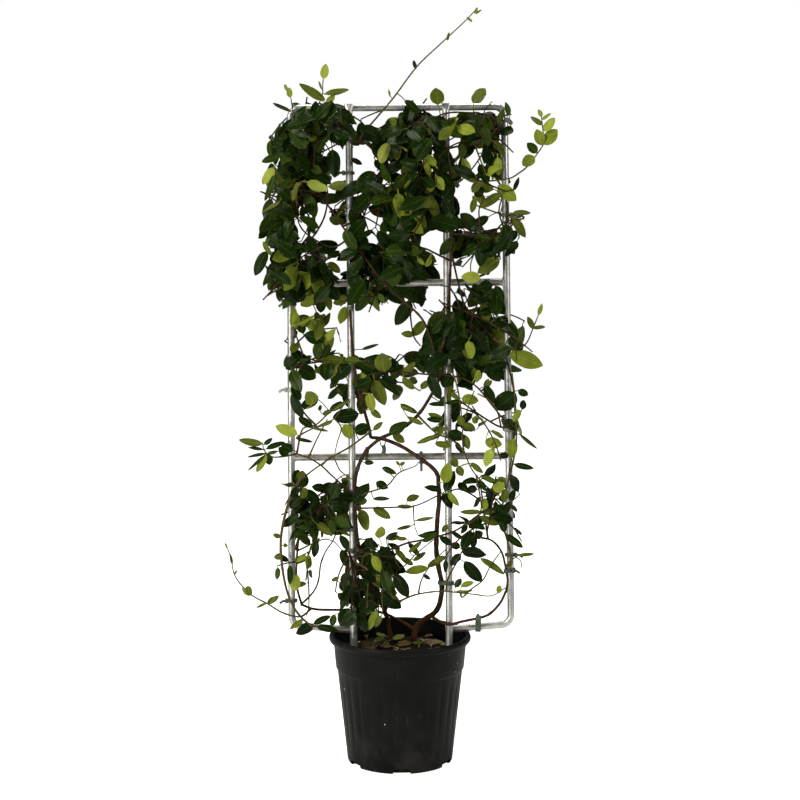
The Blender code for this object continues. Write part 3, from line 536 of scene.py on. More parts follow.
# %% Rack sizes
RACK_BASE = Vector((0.002, 0.0, 0.178))
LEAN_BACK, LEAN_LEFT = math.radians(4.0), math.radians(0.46)
LEAN = Matrix.Translation(RACK_BASE) @ Euler((-LEAN_BACK, -LEAN_LEFT, 0.0)).to_matrix().to_4x4()
UPRIGHT = LEAN.inverted()
TUBE_RADIUS = 0.00475
RACK_HEIGHT = 0.690
POST_FOOT_ACROSS, POST_TOP_ACROSS = 0.146, 0.1405
CORNER_RADIUS = 0.013
FOOT_INNER_HEIGHT, FOOT_OUTER_HEIGHT = -0.0015, 0.0055
LEG_ACROSS, LEG_DEPTH = 0.0635, -0.0098
LEG_IN_SOIL, LEG_ABOVE_RAIL = 0.052, 0.004
CROSSBARS = {"lower": 0.230, "upper": 0.460}
TUBE_SIDES = 28


def post_across(height):
    return POST_FOOT_ACROSS + (POST_TOP_ACROSS - POST_FOOT_ACROSS) * height / RACK_HEIGHT


def rounded(route, radius, steps=10):
    """A route with each of its inner corners turned into an arc."""
    path = [route[0]]
    for before, corner, after in zip(route, route[1:], route[2:]):
        way_in, way_out = (before - corner).normalized(), (after - corner).normalized()
        half = way_in.angle(way_out) / 2
        start, end = corner + way_in * radius / math.tan(half), corner + way_out * radius / math.tan(half)
        middle = corner + (way_in + way_out).normalized() * radius / math.sin(half)
        axis = (start - middle).cross(end - middle).normalized()
        for step in range(steps + 1):
            turn = Matrix.Rotation((math.pi - 2 * half) * step / steps, 3, axis)
            path.append(middle + turn @ (start - middle))
    return path + [route[-1]]


# %% [markdown]
# ### Zinc
# Zinc on a dipped tube is bright where it is new and soft grey where it has weathered. It freezes in flat crystals,
# which show as a faint spangle: Voronoi cells that shift the roughness and colour a little. Specks are its dust.

# %% Zinc finish
def zinc_finish(name, dark, light):
    material, tree, shader = principled(name, Metallic=0.8)
    cells = node(tree, "TexVoronoi", Vector=where(tree), Scale=210.0)
    crystal = node(tree, "SeparateColor", Color=cells.outputs["Color"]).outputs[0]
    base = use(tree, mottle, First=dark, Second=light, Scale=45.0, Contrast=0.6)
    colour = blend(tree, calc(tree, "MULTIPLY", crystal, 0.30), base["Colour"], (0.80, 0.81, 0.82))
    dirt = use(tree, specks, Scale=420.0, Size=0.30, Share=0.16)["Mask"]
    colour = blend(tree, calc(tree, "MULTIPLY", dirt, 0.6), colour, (0.16, 0.15, 0.13))
    rough = calc(tree, "MULTIPLY_ADD", base["Mask"], 0.12, calc(tree, "MULTIPLY_ADD", crystal, 0.14, 0.24))
    fill(tree, shader, Base_Color=colour, Roughness=rough)
    grained(tree, shader, 320.0, 5.0, 0.0003, 0.35)
    return material


ZINC = zinc_finish("zinc_tube", (0.40, 0.41, 0.42), (0.66, 0.67, 0.67))
DULL_ZINC = zinc_finish("dull_zinc_tube", (0.26, 0.25, 0.225), (0.56, 0.54, 0.50))
WELD = mottled_finish("zinc_weld", ((0.30, 0.30, 0.29), (0.62, 0.62, 0.62), 300.0, 0.8),
                      (900.0, 4.0, 0.0004, 0.7), Metallic=0.85)

# %% Bent outer tube
FLAT_END = 0.012  # the length over which an end is pressed flat


def pressed(path, ends):
    """How a ring is squeezed: tube ends are pressed flat, wider across and thinner front to back."""
    lengths = lengths_along(path)

    def squeeze(ring):
        near = lengths[-1]
        if "start" in ends:
            near = min(near, lengths[ring])
        if "end" in ends:
            near = min(near, lengths[-1] - lengths[ring])
        share = max(0.0, 1 - near / FLAT_END)
        share = share * share * (3 - 2 * share)
        return 1 + 0.22 * share, 1 - 0.62 * share

    return squeeze


def outer_route():
    left = [Vector((TUBE_RADIUS - LEG_ACROSS, 0, FOOT_INNER_HEIGHT)),
            Vector((-POST_FOOT_ACROSS, 0, FOOT_OUTER_HEIGHT)), Vector((-POST_TOP_ACROSS, 0, RACK_HEIGHT))]
    return left + [Vector((-point.x, point.y, point.z)) for point in reversed(left)]


def end_rings(path, ends):
    """More rings near a pressed end, so that it narrows smoothly."""
    rings = []
    for before, after in zip(path, path[1:]):
        count = max(1, round((after - before).length / 0.02))
        rings += [before.lerp(after, step / count) for step in range(count)]
    rings.append(path[-1])
    extra = [FLAT_END * share for share in (0.12, 0.25, 0.4, 0.55, 0.7, 0.85)]
    if "start" in ends:
        way = (rings[1] - rings[0]).normalized()
        rings[1:1] = [rings[0] + way * reach for reach in extra]
    if "end" in ends:
        way = (rings[-2] - rings[-1]).normalized()
        rings[-1:-1] = [rings[-1] + way * reach for reach in reversed(extra)]
    return rings


def lay_tube(name, route, ends, finish, solids):
    """One tube of the rack, with these of its ends pressed flat."""
    path, heap = end_rings(route, ends), Heap()
    heap.add(*sweep(path, [TUBE_RADIUS] * len(path), TUBE_SIDES, flat=pressed(path, ends)), finish)
    build(name, heap, place=LEAN, replaces=solids)
    print(f"{name}: {lengths_along(path)[-1]:.2f} m of tube")


bends = [f"rack_{part}_{side}" for side in ("left", "right") for part in ("foot", "low_elbow", "post", "top_elbow")]
lay_tube("rack_outer_tube", rounded(outer_route(), CORNER_RADIUS), ("start", "end"), ZINC,
         ["rack_top_rail"] + bends)

# %% Legs and crossbars
for side, sign in (("left", -1), ("right", 1)):
    foot = Vector((sign * LEG_ACROSS, LEG_DEPTH, -LEG_IN_SOIL))
    head = Vector((sign * LEG_ACROSS, LEG_DEPTH, RACK_HEIGHT + LEG_ABOVE_RAIL))
    lay_tube(f"leg_{side}", [foot, head], ("end",), ZINC, [f"rack_leg_{side}"])
for word, height in CROSSBARS.items():
    reach = post_across(height) - TUBE_RADIUS * 0.6
    route = [Vector((-reach, 0, height)), Vector((reach, 0, height))]
    lay_tube(f"crossbar_{word}", route, (), DULL_ZINC, [f"rack_crossbar_{word}"])

# %% Weld beads
def lump(centre, half, seed, rough=0.25, rings=8, sides=12):
    """A closed rounded lump with a noisy surface."""
    points, places = [], []
    for ring in range(rings + 1):
        lift, count = math.pi * ring / rings, sides if 0 < ring < rings else 1
        places.append(range(len(points), len(points) + count))
        for x, y in circle(1.0, sides)[:count]:
            way = Vector((math.sin(lift) * x, math.sin(lift) * y, math.cos(lift)))
            size = 1 + rough * noise.noise(way * 1.7 + Vector((seed * 3.1, seed * 1.7, seed)))
            points.append(centre + Vector([way[axis] * half[axis] * size for axis in range(3)]))
    return points, flipped(skin(places))


SMALL_BEAD, LONG_BEAD = (0.0014, 0.0021, 0.0021), (0.0016, 0.0024, 0.0036)
beads = []  # the middle of each and its half sizes
for sign in (-1, 1):
    for height in (RACK_HEIGHT, *CROSSBARS.values(), FOOT_INNER_HEIGHT):
        for side in (-1, 1):
            across = sign * LEG_ACROSS + side * TUBE_RADIUS * 0.72
            beads.append((Vector((across, LEG_DEPTH / 2, height)), LONG_BEAD))
    for height in CROSSBARS.values():
        for turn in range(5):
            around = math.radians(72 * turn + 20)
            middle = Vector((sign * (post_across(height) - TUBE_RADIUS), TUBE_RADIUS * 0.8 * math.cos(around),
                             height + TUBE_RADIUS * 0.9 * math.sin(around)))
            beads.append((middle, SMALL_BEAD))
heap = Heap()
for seed, (middle, half) in enumerate(beads):
    heap.add(*lump(middle, half, seed), WELD)
build("weld_beads", heap, place=LEAN)
print("weld beads:", len(beads))

# %% [markdown]
# ## Stems and boughs
# Two stems leave the soil side by side, spread to the legs, cross at mid height and carry the crown. Each route is
# a few listed points, with a smooth curve through them, and limbs that follow on from each other are swept
# as one, so that no seam shows. The bark is real relief: long ridges that wander round the stem, a swollen knot
# where a pair of leaves once stood, and a collar where a limb leaves another.

# %% Limb routes
SOIL_TOP = 0.150
SOIL = "soil"
LIMBS = {  # what it grows on, radii at both ends in mm, route in mm
    "stem_left_low": (SOIL, 2.7, 2.4, [
        (-13, 45), (-19, 38, 6), (-26, 24, 28), (-39, 6, 55), (-52, -10, 90), (-58, -18, 126), (-60, -19, 158),
    ]),
    "stem_left_high": ("stem_left_low", 2.3, 2.1, [
        (-60, -19, 160), (-60, -19, 197), (-55, -18, 219), (-44, -16, 240), (-27, -16, 255),
    ]),
    "bough_diagonal": ("stem_left_high", 2.1, 1.7, [
        (-25, -16, 256), (3, -17, 269), (24, -15, 286), (39, -17, 308), (51, -20, 332), (55, -21, 371),
    ]),
    "bough_right_leg": ("bough_diagonal", 1.7, 1.2, [
        (55, -21, 372), (62, -22, 397), (66, -22, 450), (69, -22, 503), (71, -22, 568), (65, -22, 634),
    ]),
    "stem_right_low": (SOIL, 3.4, 2.9, [
        (14, 45), (22, 38, -2), (33, 26, 9), (45, 12, 20), (52, 2, 36), (54, -4, 60), (49, -8, 86), (47, -9, 108),
    ]),
    "stem_right_high": ("stem_right_low", 2.8, 2.5, [(47, -9, 110), (48, -12, 141), (51, -14, 172), (50, -15, 202)]),
    "stem_arch": ("stem_right_high", 2.4, 2.0, [
        (50, -15, 204), (46, -14, 212), (34, -13, 223), (4, -9, 243), (-22, -6, 254), (-37, -6, 256),
    ]),
    "bough_left_leg": ("stem_arch", 1.9, 1.4, [
        (-39, -6, 258), (-41, -8, 270), (-50, -15, 305), (-57, -20, 339), (-61, -21, 372), (-64, -21, 425),
    ]),
    "loop_right_low": ("stem_right_low", 1.9, 1.6, [
        (38, 19, 14), (60, -19, 9), (82, -16, 12), (109, -11, 17), (121, -11, 24), (132, -13, 37), (138, -14, 50),
    ]),
    "loop_right_high": ("loop_right_low", 1.5, 1.2, [
        (139, -14, 52), (141, -14, 66), (138, -13, 85), (133, -12, 104), (121, -9, 118), (105, -5, 122),
    ]),
    "loop_left_low": ("stem_right_low", 1.8, 1.5, [
        (17, 42, -8), (-4, 46, 4), (-30, 40, 16), (-68, 16, 23), (-112, 4, 26), (-131, -8, 34),
    ]),
    "loop_left_high": ("loop_left_low", 1.4, 1.1, [
        (-132, -9, 35), (-138, -13, 60), (-138, -14, 93), (-134, -13, 133), (-131, -13, 160),
    ]),
    "trail_right_high": ("bough_right_leg", 1.3, 1.1, [
        (71, -26, 500), (78, -20, 459), (86, -15, 431), (100, -13, 413), (127, -13, 382),
    ]),
    "trail_right_low": ("trail_right_high", 1.1, 0.8, [
        (128, -13, 381), (140, -15, 362), (150, -15, 315), (151, -14, 264), (142, -13, 198), (136, -13, 171),
    ]),
    "bough_centre": ("bough_diagonal", 1.5, 1.1, [
        (50, -24, 344), (34, -28, 406), (5, -23, 437), (-22, -19, 464), (-55, -23, 508), (-72, -24, 533),
        (-96, -17, 567), (-111, -14, 578),
    ]),
    "runner_top": ("bough_right_leg", 1.2, 1.0, [
        (64, -28, 488), (40, -27, 502), (18, -25, 514), (0, -23, 565), (-14, -18, 607), (-27, -15, 632),
        (-49, -16, 646),
    ]),
    "runner_left_high": ("bough_centre", 1.1, 0.9, [
        (-66, -27, 517), (-86, -21, 507), (-112, -15, 519), (-129, -14, 536), (-132, -13, 562), (-122, -13, 590),
    ]),
    "runner_left_mid": ("stem_left_high", 1.2, 0.9, [
        (-62, -23, 180), (-89, -18, 206), (-104, -15, 220), (-120, -14, 230), (-136, -15, 236),
    ]),
}
STEMS = {  # each stem of the finished plant, and the limbs of the frame that it runs through
    "left_stem": ["stem_left_low", "stem_left_high", "bough_diagonal", "bough_right_leg"],
    "right_stem": ["stem_right_low", "stem_right_high", "stem_arch", "bough_left_leg"],
    "right_loop": ["loop_right_low", "loop_right_high"],
    "left_loop": ["loop_left_low", "loop_left_high"],
    "right_trail": ["trail_right_high", "trail_right_low"],
    "centre_bough": ["bough_centre"],
    "top_runner": ["runner_top"],
    "left_high_runner": ["runner_left_high"],
    "left_mid_runner": ["runner_left_mid"],
}

# %% Limb paths
STEM_SPACING = 0.0022


class Limb:
    """A tapering limb: its axis as a path, and the radius at each point of it."""

    def __init__(self, path, radii):
        self.path, self.radii = path, radii

    def nearest(self, target):
        """Place, direction and radius of the axis at the point nearest to a target."""
        best = None
        for place in range(len(self.path) - 1):
            start, end = self.path[place], self.path[place + 1]
            share = min(max((target - start).dot(end - start) / (end - start).length_squared, 0.0), 1.0)
            point = start.lerp(end, share)
            if best is None or (target - point).length < (target - best[0]).length:
                radius = self.radii[place] + share * (self.radii[place + 1] - self.radii[place])
                best = (point, (end - start).normalized(), radius)
        return best


def lay_stem(names):
    """One long limb through the routes of several, from inside whatever it grows on."""
    parent, start_radius, _, waypoints = LIMBS[names[0]]
    route = []
    for name in names:
        route += [Vector(point) * MM for point in LIMBS[name][3] if len(point) == 3]
    if parent == SOIL:
        across, depth = waypoints[0]
        route.insert(0, UPRIGHT @ Vector((across * MM + RACK_BASE.x, depth * MM, SOIL_TOP - 0.004)))
    else:
        route[0] = limbs[parent].nearest(route[0])[0]
    path = even_path(smooth_path(route, 8), STEM_SPACING)
    lengths = lengths_along(path)
    marks = [(0.0, start_radius * MM)]
    for name in names:
        end = Vector(LIMBS[name][3][-1]) * MM
        nearest = min(range(len(path)), key=lambda place: (path[place] - end).length)
        marks.append((lengths[nearest], LIMBS[name][2] * MM))
    radii = [float(np.interp(length, *zip(*marks))) for length in lengths]
    return Limb(path, radii)


limbs = {}
for stem, names in STEMS.items():
    laid = lay_stem(names)
    for name in names:
        limbs[name] = laid
    print(f"{stem}: {lengths_along(laid.path)[-1]:.2f} m, {2000 * laid.radii[0]:.1f} mm thick at its foot")

# %% [markdown]
# ### Bark
# Old jasmine bark is a dull reddish brown, cracked lengthways, with a paler grey skin that flakes. Younger wood is
# smoother and redder, and this year's runners are still olive green. One group makes the fibres and flakes, and
# three finishes use it with their own colours.

# %% Bark finishes
FOOT_HEIGHTS, FOOT_RED = (0.165, 0.205), (0.115, 0.045, 0.019)  # where the stems are rubbed red

bark_skin, given, out = new_group(
    "bark_skin",
    {"Crack": (0.02, 0.01, 0.01), "Skin": (0.1, 0.05, 0.03), "Flake": (0.2, 0.15, 0.1), "Flaking": 0.4},
    ["Colour", "Height"],
)
tree = bark_skin
fibres = node(tree, "Mapping", Vector=where(tree), Scale=(1.0, 1.0, 0.22)).outputs[0]
fibres = cloudy(tree, fibres, 900.0, 6.0, Roughness=0.65)
patches = ramp(tree, cloudy(tree, where(tree), 170.0, 4.0), 0.50, 0.66)
bark = blend(tree, ramp(tree, fibres, 0.36, 0.60), given["Crack"], given["Skin"])
bark = blend(tree, calc(tree, "MULTIPLY", patches, given["Flaking"]), bark, given["Flake"])
fill(tree, out, Colour=bark, Height=fibres)


def bark_finish(name, crack, skin, flake, flaking, roughness, depth):
    material, tree, shader = principled(name, Roughness=roughness, Specular_IOR_Level=0.15)
    bark = use(tree, bark_skin, Crack=crack, Skin=skin, Flake=flake, Flaking=flaking)
    rubbed = calc(tree, "MULTIPLY_ADD", ramp(tree, height_of(tree), *FOOT_HEIGHTS), -0.8, 0.8)
    fill(tree, shader, Base_Color=blend(tree, rubbed, bark["Colour"], FOOT_RED))
    relief(tree, shader, bark["Height"], depth, 0.8)
    return material


OLD_BARK = bark_finish("old_bark", (0.011, 0.006, 0.004), (0.058, 0.030, 0.016), (0.110, 0.074, 0.050), 0.40,
                       0.85, 0.0006)
RED_BARK = bark_finish("red_bark", (0.012, 0.006, 0.003), (0.056, 0.028, 0.013), (0.085, 0.048, 0.024), 0.30,
                       0.62, 0.0003)
OLIVE_BARK = bark_finish("olive_bark", (0.045, 0.034, 0.010), (0.105, 0.092, 0.028), (0.08, 0.042, 0.018), 0.35,
                         0.55, 0.0002)

# %% Stem meshes
STEM_SIDES, THIN_SIDES, THICK = 16, 10, 0.002
KNOT_SPACING = 0.031
COLLAR_LENGTH = 0.007


def bark_relief(limb, seed, rugged):
    """The height of the bark above a smooth taper, at each ring and turn."""
    lengths = lengths_along(limb.path)
    lean = random.Random(seed).uniform(0, 6)

    def height(ring, turn):
        along, radius = lengths[ring], limb.radii[ring]
        sideways = Vector((math.cos(turn), math.sin(turn), 0)) * 1.6
        ridge = noise.fractal(sideways + Vector((0, 0, along * 55 + lean)), 1.0, 2.0, 3)
        fibre = noise.noise(sideways * 3 + Vector((lean, 0, along * 130)))
        from_knot = (along + 0.004 * math.sin(lean + along * 90)) % KNOT_SPACING - KNOT_SPACING / 2
        knot = math.exp(-((from_knot / 0.0022) ** 2)) * (0.6 + 0.4 * math.cos(2 * turn + along * 300))
        collar = math.exp(-along / COLLAR_LENGTH)
        return radius * (rugged * (0.13 + 0.18 * ridge + 0.10 * fibre) + 0.26 * knot + 0.45 * collar)

    return height


def barked(limb, sides, seed, rugged):
    return sweep(limb.path, limb.radii, sides, relief=bark_relief(limb, seed, rugged))


for seed, (stem, names) in enumerate(STEMS.items()):
    laid, heap = limbs[names[0]], Heap()
    bark, rugged = (OLD_BARK, 1.0) if stem in ("left_stem", "right_stem") else (RED_BARK, 0.5)
    sides = STEM_SIDES if laid.radii[0] > THICK else THIN_SIDES
    heap.add(*barked(laid, sides, seed, rugged), bark)
    build(stem, heap, sharp=60, place=LEAN, replaces=names)
print("stems with bark relief:", len(STEMS))

# %% [markdown]
# ## Leaves
# A star jasmine leaf is an ellipse drawn out to a point, three or four centimetres long, folded a little along its
# pale midrib, with the halves puffed up beside it and the tip curled down. It is thick, dark and glossy above and
# paler below. Each is a closed mesh of its own outline: an upper and a lower skin that meet at the margin, and a
# narrow strip for the midrib. A seeded draw gives every leaf its own size, fold, curl and twist.

# %% Leaf outline
LEAF_OUTLINE = ((0.0, 0.10), (0.05, 0.39), (0.13, 0.69), (0.25, 0.91), (0.39, 1.0), (0.54, 0.99), (0.69, 0.87),
                (0.82, 0.65), (0.92, 0.36), (0.97, 0.16), (1.0, 0.0))
LEAF_COLUMNS = (-1.0, -0.55, -0.04, 0.04, 0.55, 1.0)
RIB_WIDTH, RIB_THICKNESS, RIB_SUNK = 0.0011, 0.0009, 0.0002
LEAF_THICKNESS = 0.00035
PETIOLE, PETIOLE_RADII = 0.0055, (0.00085, 0.00065, 0.00065)


def leaf_template():
    """Each point as (along, side share, level), each face, and which part of the leaf each face is."""
    spots, rings = [], []
    for along, _ in LEAF_OUTLINE[:-1]:
        first = len(spots)
        spots += [(along, share, 1) for share in LEAF_COLUMNS]
        spots += [(along, share, -1) for share in LEAF_COLUMNS[1:-1]]  # the skins share their margins
        rings.append([*range(first, first + 6), *range(first + 9, first + 5, -1)])
    rings.append([len(spots)])
    spots.append((1.0, 0.0, 1))
    parts = ["blade", "blade", "rib", "blade", "blade"] + ["under"] * 5
    base = rings[0]
    faces = skin(rings) + [(*base[5::-1], *base[:5:-1])]
    return np.array(spots), faces, parts * (len(rings) - 1) + ["under"]


LEAF_SPOTS, LEAF_FACES, LEAF_PARTS = leaf_template()
LEAF_WIDTHS = np.interp(LEAF_SPOTS[:, 0], *zip(*LEAF_OUTLINE))
LEAF_UV = [(float(share), float(along)) for along, share, _ in LEAF_SPOTS]
print(f"a leaf has {len(LEAF_SPOTS)} points and {len(LEAF_FACES)} faces")


class Leaf:
    """One leaf: where its blade starts, its axes, its sizes and how it bends."""

    def __init__(self, knot, root, along, facing, length, width, rng):
        self.knot, self.root, self.along = knot, root, along.normalized()
        self.facing = (facing - facing.dot(self.along) * self.along).normalized()
        self.side = self.along.cross(self.facing)
        self.length, self.width = length, width
        self.fold, self.puff = rng.uniform(0.05, 0.34), rng.uniform(0.10, 0.30)
        self.curl, self.sickle = rng.gauss(0.16, 0.13), rng.gauss(0, 0.05)
        self.twist, self.wave = rng.gauss(0, 0.22), rng.uniform(0, 6.28)

    def points(self):
        along, share, level = LEAF_SPOTS.T
        half = self.width / 2 * LEAF_WIDTHS
        across = share * half
        rib = np.abs(share) < 0.1
        across[rib] = np.sign(share[rib]) * RIB_WIDTH / 2 * (1.1 - 0.85 * along[rib])
        reach = np.abs(across)
        rise = self.fold * reach - self.puff * reach**2 / (self.width / 2)
        rise += 0.05 * self.width * np.abs(share) ** 2 * np.sin(along * 9 + self.wave + share)
        rise[rib] -= RIB_SUNK
        thick = np.where(np.abs(share) > 0.9, 0.0, LEAF_THICKNESS)
        thick[rib] = RIB_THICKNESS * (1.05 - 0.8 * along[rib])
        rise = rise - np.where(level < 0, thick, 0.0)
        turn = self.twist * along
        across, rise = across * np.cos(turn) - rise * np.sin(turn), across * np.sin(turn) + rise * np.cos(turn)
        ahead = self.length * along * (1 - self.curl**2 * along**2 / 3)
        rise = rise - self.curl * self.length * along**2
        across = across + self.sickle * self.length * along**2
        axes = np.array([self.side, self.along, self.facing])
        return np.array(self.root) + np.stack([across, ahead, rise], 1) @ axes

    def proxy(self):
        """The leaf as eight coarse triangles, to find what it would touch."""
        belly = self.root + self.along * self.length * 0.45
        sag = self.facing * (self.curl * self.length)
        points = [self.root + self.along * 0.002, belly + self.side * self.width / 2,
                  self.root + self.along * self.length - sag, belly - self.side * self.width / 2,
                  belly + self.facing * 0.0012, belly - self.facing * 0.0012 - sag * 0.2]
        faces = []
        for start in range(4):
            end = (start + 1) % 4
            faces += [(start, end, 4), (end, start, 5)]
        return points, faces

    def petiole(self):
        """The leaf's stalk, from inside its twig to the foot of the blade."""
        bend = self.knot.lerp(self.root, 0.55) + (self.root - self.knot).length * 0.12 * self.facing
        return sweep([self.knot, bend, self.root + self.along * 0.0012], PETIOLE_RADII, 5)


# %% [markdown]
# ### Leaf finishes
# The plant carries leaves of several ages: nearly black-green old ones, fresh dark ones, mid green, olive, and
# yellow-green new growth. Each age has an upper skin, an under skin and a rib, all plain base colours that are
# dealt out spray by spray. The shared leaf group adds what all of them have: side veins that sink into the skin,
# a slight change of green between them, and a gloss that is broken up by fine grain.

# %% Leaf group
leaf_skin, given, out = new_group(
    "leaf_skin", {"Colour": (0.03, 0.05, 0.01), "Vein": (0.1, 0.12, 0.03), "Veins": 0.3, "Gloss": 0.3},
    ["Colour", "Roughness", "Height"],
)
tree = leaf_skin
spot = node(tree, "UVMap", {"uv_map": "leaf_spot"}).outputs[0]
spot = node(tree, "SeparateXYZ", Vector=spot).outputs
aside = calc(tree, "ABSOLUTE", spot["X"])
slant = calc(tree, "MULTIPLY_ADD", aside, -0.22, spot["Y"])
stripe = calc(tree, "PINGPONG", calc(tree, "MULTIPLY", slant, 8.0), 0.5)
vein = calc(tree, "SUBTRACT", 1.0, ramp(tree, stripe, 0.02, 0.14))
vein = calc(tree, "MULTIPLY", vein, calc(tree, "SUBTRACT", 1.0, ramp(tree, aside, 0.55, 1.0)))
shade = use(tree, mottle, First=(0.60, 0.66, 0.50), Second=(1.20, 1.25, 0.95), Scale=75.0, Contrast=0.35)
green = blend(tree, 0.7, given["Colour"], shade["Colour"], "MULTIPLY")
green = blend(tree, calc(tree, "MULTIPLY", vein, given["Veins"]), green, given["Vein"])
grain = use(tree, fine_grain, Scale=420.0, Detail=3.0)["Height"]
rough = calc(tree, "MULTIPLY_ADD", grain, 0.16, given["Gloss"])
sunk = calc(tree, "MULTIPLY_ADD", vein, -0.6, calc(tree, "MULTIPLY", grain, 0.4))
fill(tree, out, Colour=green, Roughness=rough, Height=sunk)

# %% Leaf ages
AGES = {  # upper skin, under skin, rib, gloss
    "deep": ((0.0046, 0.0140, 0.0012), (0.026, 0.046, 0.007), (0.018, 0.036, 0.005), 0.18),
    "dark": ((0.0076, 0.0205, 0.0016), (0.034, 0.058, 0.008), (0.031, 0.054, 0.006), 0.18),
    "green": ((0.0205, 0.0410, 0.0032), (0.060, 0.094, 0.013), (0.056, 0.088, 0.012), 0.20),
    "olive": ((0.0850, 0.1060, 0.0110), (0.135, 0.165, 0.028), (0.145, 0.175, 0.032), 0.26),
    "young": ((0.1950, 0.2350, 0.0230), (0.225, 0.272, 0.045), (0.280, 0.320, 0.062), 0.32),
    "fresh": ((0.3300, 0.3800, 0.0550), (0.330, 0.385, 0.080), (0.400, 0.450, 0.120), 0.34),
}


def leaf_finish(name, colour, vein, veins, gloss, specular):
    material, tree, shader = principled(name, Specular_IOR_Level=specular)
    skin = use(tree, leaf_skin, Colour=colour, Vein=vein, Veins=veins, Gloss=gloss)
    fill(tree, shader, Base_Color=skin["Colour"], Roughness=skin["Roughness"])
    relief(tree, shader, skin["Height"], 0.0004, 0.55)
    return material


LEAF_FINISHES = {}
for age, (upper, under, rib, gloss) in AGES.items():
    LEAF_FINISHES[age] = {
        "blade": leaf_finish(f"{age}_leaf", upper, rib, 0.30, gloss, 0.085),
        "under": leaf_finish(f"{age}_leaf_underside", under, rib, 0.5, gloss + 0.25, 0.08),
        "rib": leaf_finish(f"{age}_leaf_rib", rib, rib, 0.0, gloss + 0.15, 0.12),
    }
print("leaf finishes:", 3 * len(LEAF_FINISHES))


def add_leaf(heap, leaf, age):
    finishes = LEAF_FINISHES[age]
    heap.add(leaf.points(), LEAF_FACES, [finishes[part] for part in LEAF_PARTS], LEAF_UV)
    heap.add(*leaf.petiole(), finishes["rib"])


# %% [markdown]
# ## The masses of leaves
# Foliage grows by one rule. A mass has a space of its own, rounded outside and cut by flat planes towards its
# neighbours. One stem leaves a bough and runs through the space, twigs leave the stem by the golden angle and
# reach for the edge, finer side twigs leave those, and every knot carries a pair of leaves, one on each side.
# What would leave the space, close a gap where sky shows, hide a bough that climbs in front, or cross a tube, a
# twig or another leaf is tried again and then skipped.

# %% Spaces and gaps
MASSES = {  # limb, middle, half sizes in mm, twigs, seed, fullness, share of young leaves, size of leaves
    "top_left": ("runner_left_high", (-114, -8, 652), (60, 92, 62), 6, 3, 0.84, 0.09, 0.92),
    "top_centre": ("runner_top", (6, -6, 656), (66, 88, 56), 6, 5, 0.82, 0.06, 0.92),
    "top_right": ("bough_right_leg", (98, -8, 642), (58, 90, 64), 6, 9, 0.82, 0.12, 0.90),
    "upper_left": ("bough_centre", (-137, -6, 566), (52, 100, 62), 6, 11, 0.86, 0.07, 0.98),
    "upper_centre": ("bough_centre", (-48, -4, 556), (56, 96, 60), 6, 16, 0.85, 0.07, 0.98),
    "upper_middle": ("runner_top", (40, -4, 566), (56, 98, 62), 6, 21, 0.84, 0.05, 0.98),
    "upper_right": ("bough_right_leg", (118, -6, 530), (56, 96, 66), 5, 26, 0.75, 0.18, 0.92),
    "left_shoulder": ("runner_left_high", (-132, -6, 476), (58, 92, 60), 5, 31, 0.85, 0.05, 1.02),
    "crown": ("bough_centre", (-20, -6, 464), (70, 100, 54), 6, 36, 0.85, 0.08, 1.02),
    "right_middle": ("trail_right_high", (106, -6, 398), (76, 92, 72), 7, 41, 0.70, 0.14, 1.10),
    "left_middle": ("bough_left_leg", (-112, -6, 372), (48, 72, 68), 4, 46, 0.58, 0.30, 0.85),
    "centre_middle": ("bough_left_leg", (-26, -4, 326), (66, 74, 46), 5, 51, 0.55, 0.40, 0.85),
    "right_low_middle": ("trail_right_low", (112, -4, 272), (62, 66, 54), 4, 56, 0.48, 0.42, 0.68),
    "left_lower": ("runner_left_mid", (-106, -4, 166), (66, 74, 46), 5, 61, 0.60, 0.16, 0.74),
    "lower_centre": ("stem_left_low", (-44, -20, 56), (50, 72, 66), 6, 67, 0.90, 0.04, 0.88),
    "left_edge": ("loop_left_high", (-138, -8, 72), (40, 50, 72), 3, 71, 0.35, 0.40, 0.60),
    "right_lower": ("loop_right_high", (106, -4, 132), (62, 66, 84), 5, 77, 0.42, 0.36, 0.62),
}
GAPS = [  # middle across and up, half sizes, in mm, of each gap where sky shows between the leaves
    (-52, 618, 20, 19), (-87, 636, 12, 8), (-24, 676, 10, 9), (72, 636, 7, 14), (105, 624, 12, 9), (90, 562, 9, 26),
    (124, 548, 14, 18), (-100, 552, 7, 19), (-80, 525, 8, 10), (-42, 541, 14, 11), (49, 516, 13, 13),
    (-75, 483, 7, 9), (94, 483, 9, 8), (50, 440, 11, 16), (-56, 440, 8, 16), (-14, 398, 42, 30), (-113, 321, 16, 14),
    (-68, 388, 8, 26), (-22, 280, 24, 12), (20, 300, 14, 16), (42, 272, 11, 13), (120, 300, 14, 22),
    (112, 254, 12, 10), (-104, 250, 22, 12), (98, 240, 18, 9), (-100, 206, 22, 10), (10, 196, 40, 24),
    (0, 152, 28, 12), (88, 170, 8, 12), (-96, 84, 17, 26), (-108, 42, 22, 18), (44, 92, 10, 34), (36, 38, 26, 22),
    (0, 12, 22, 16), (104, 52, 30, 24), (122, 112, 8, 14), (-160, 150, 12, 30), (-22, 690, 36, 8), (40, 691, 44, 8),
    (104, 691, 34, 7), (144, 636, 7, 30), (146, 560, 5, 16), (148, 465, 7, 34), (-50, 384, 24, 15),
    (-119, 384, 9, 12), (-125, 423, 7, 10), (154, 421, 8, 16),
]
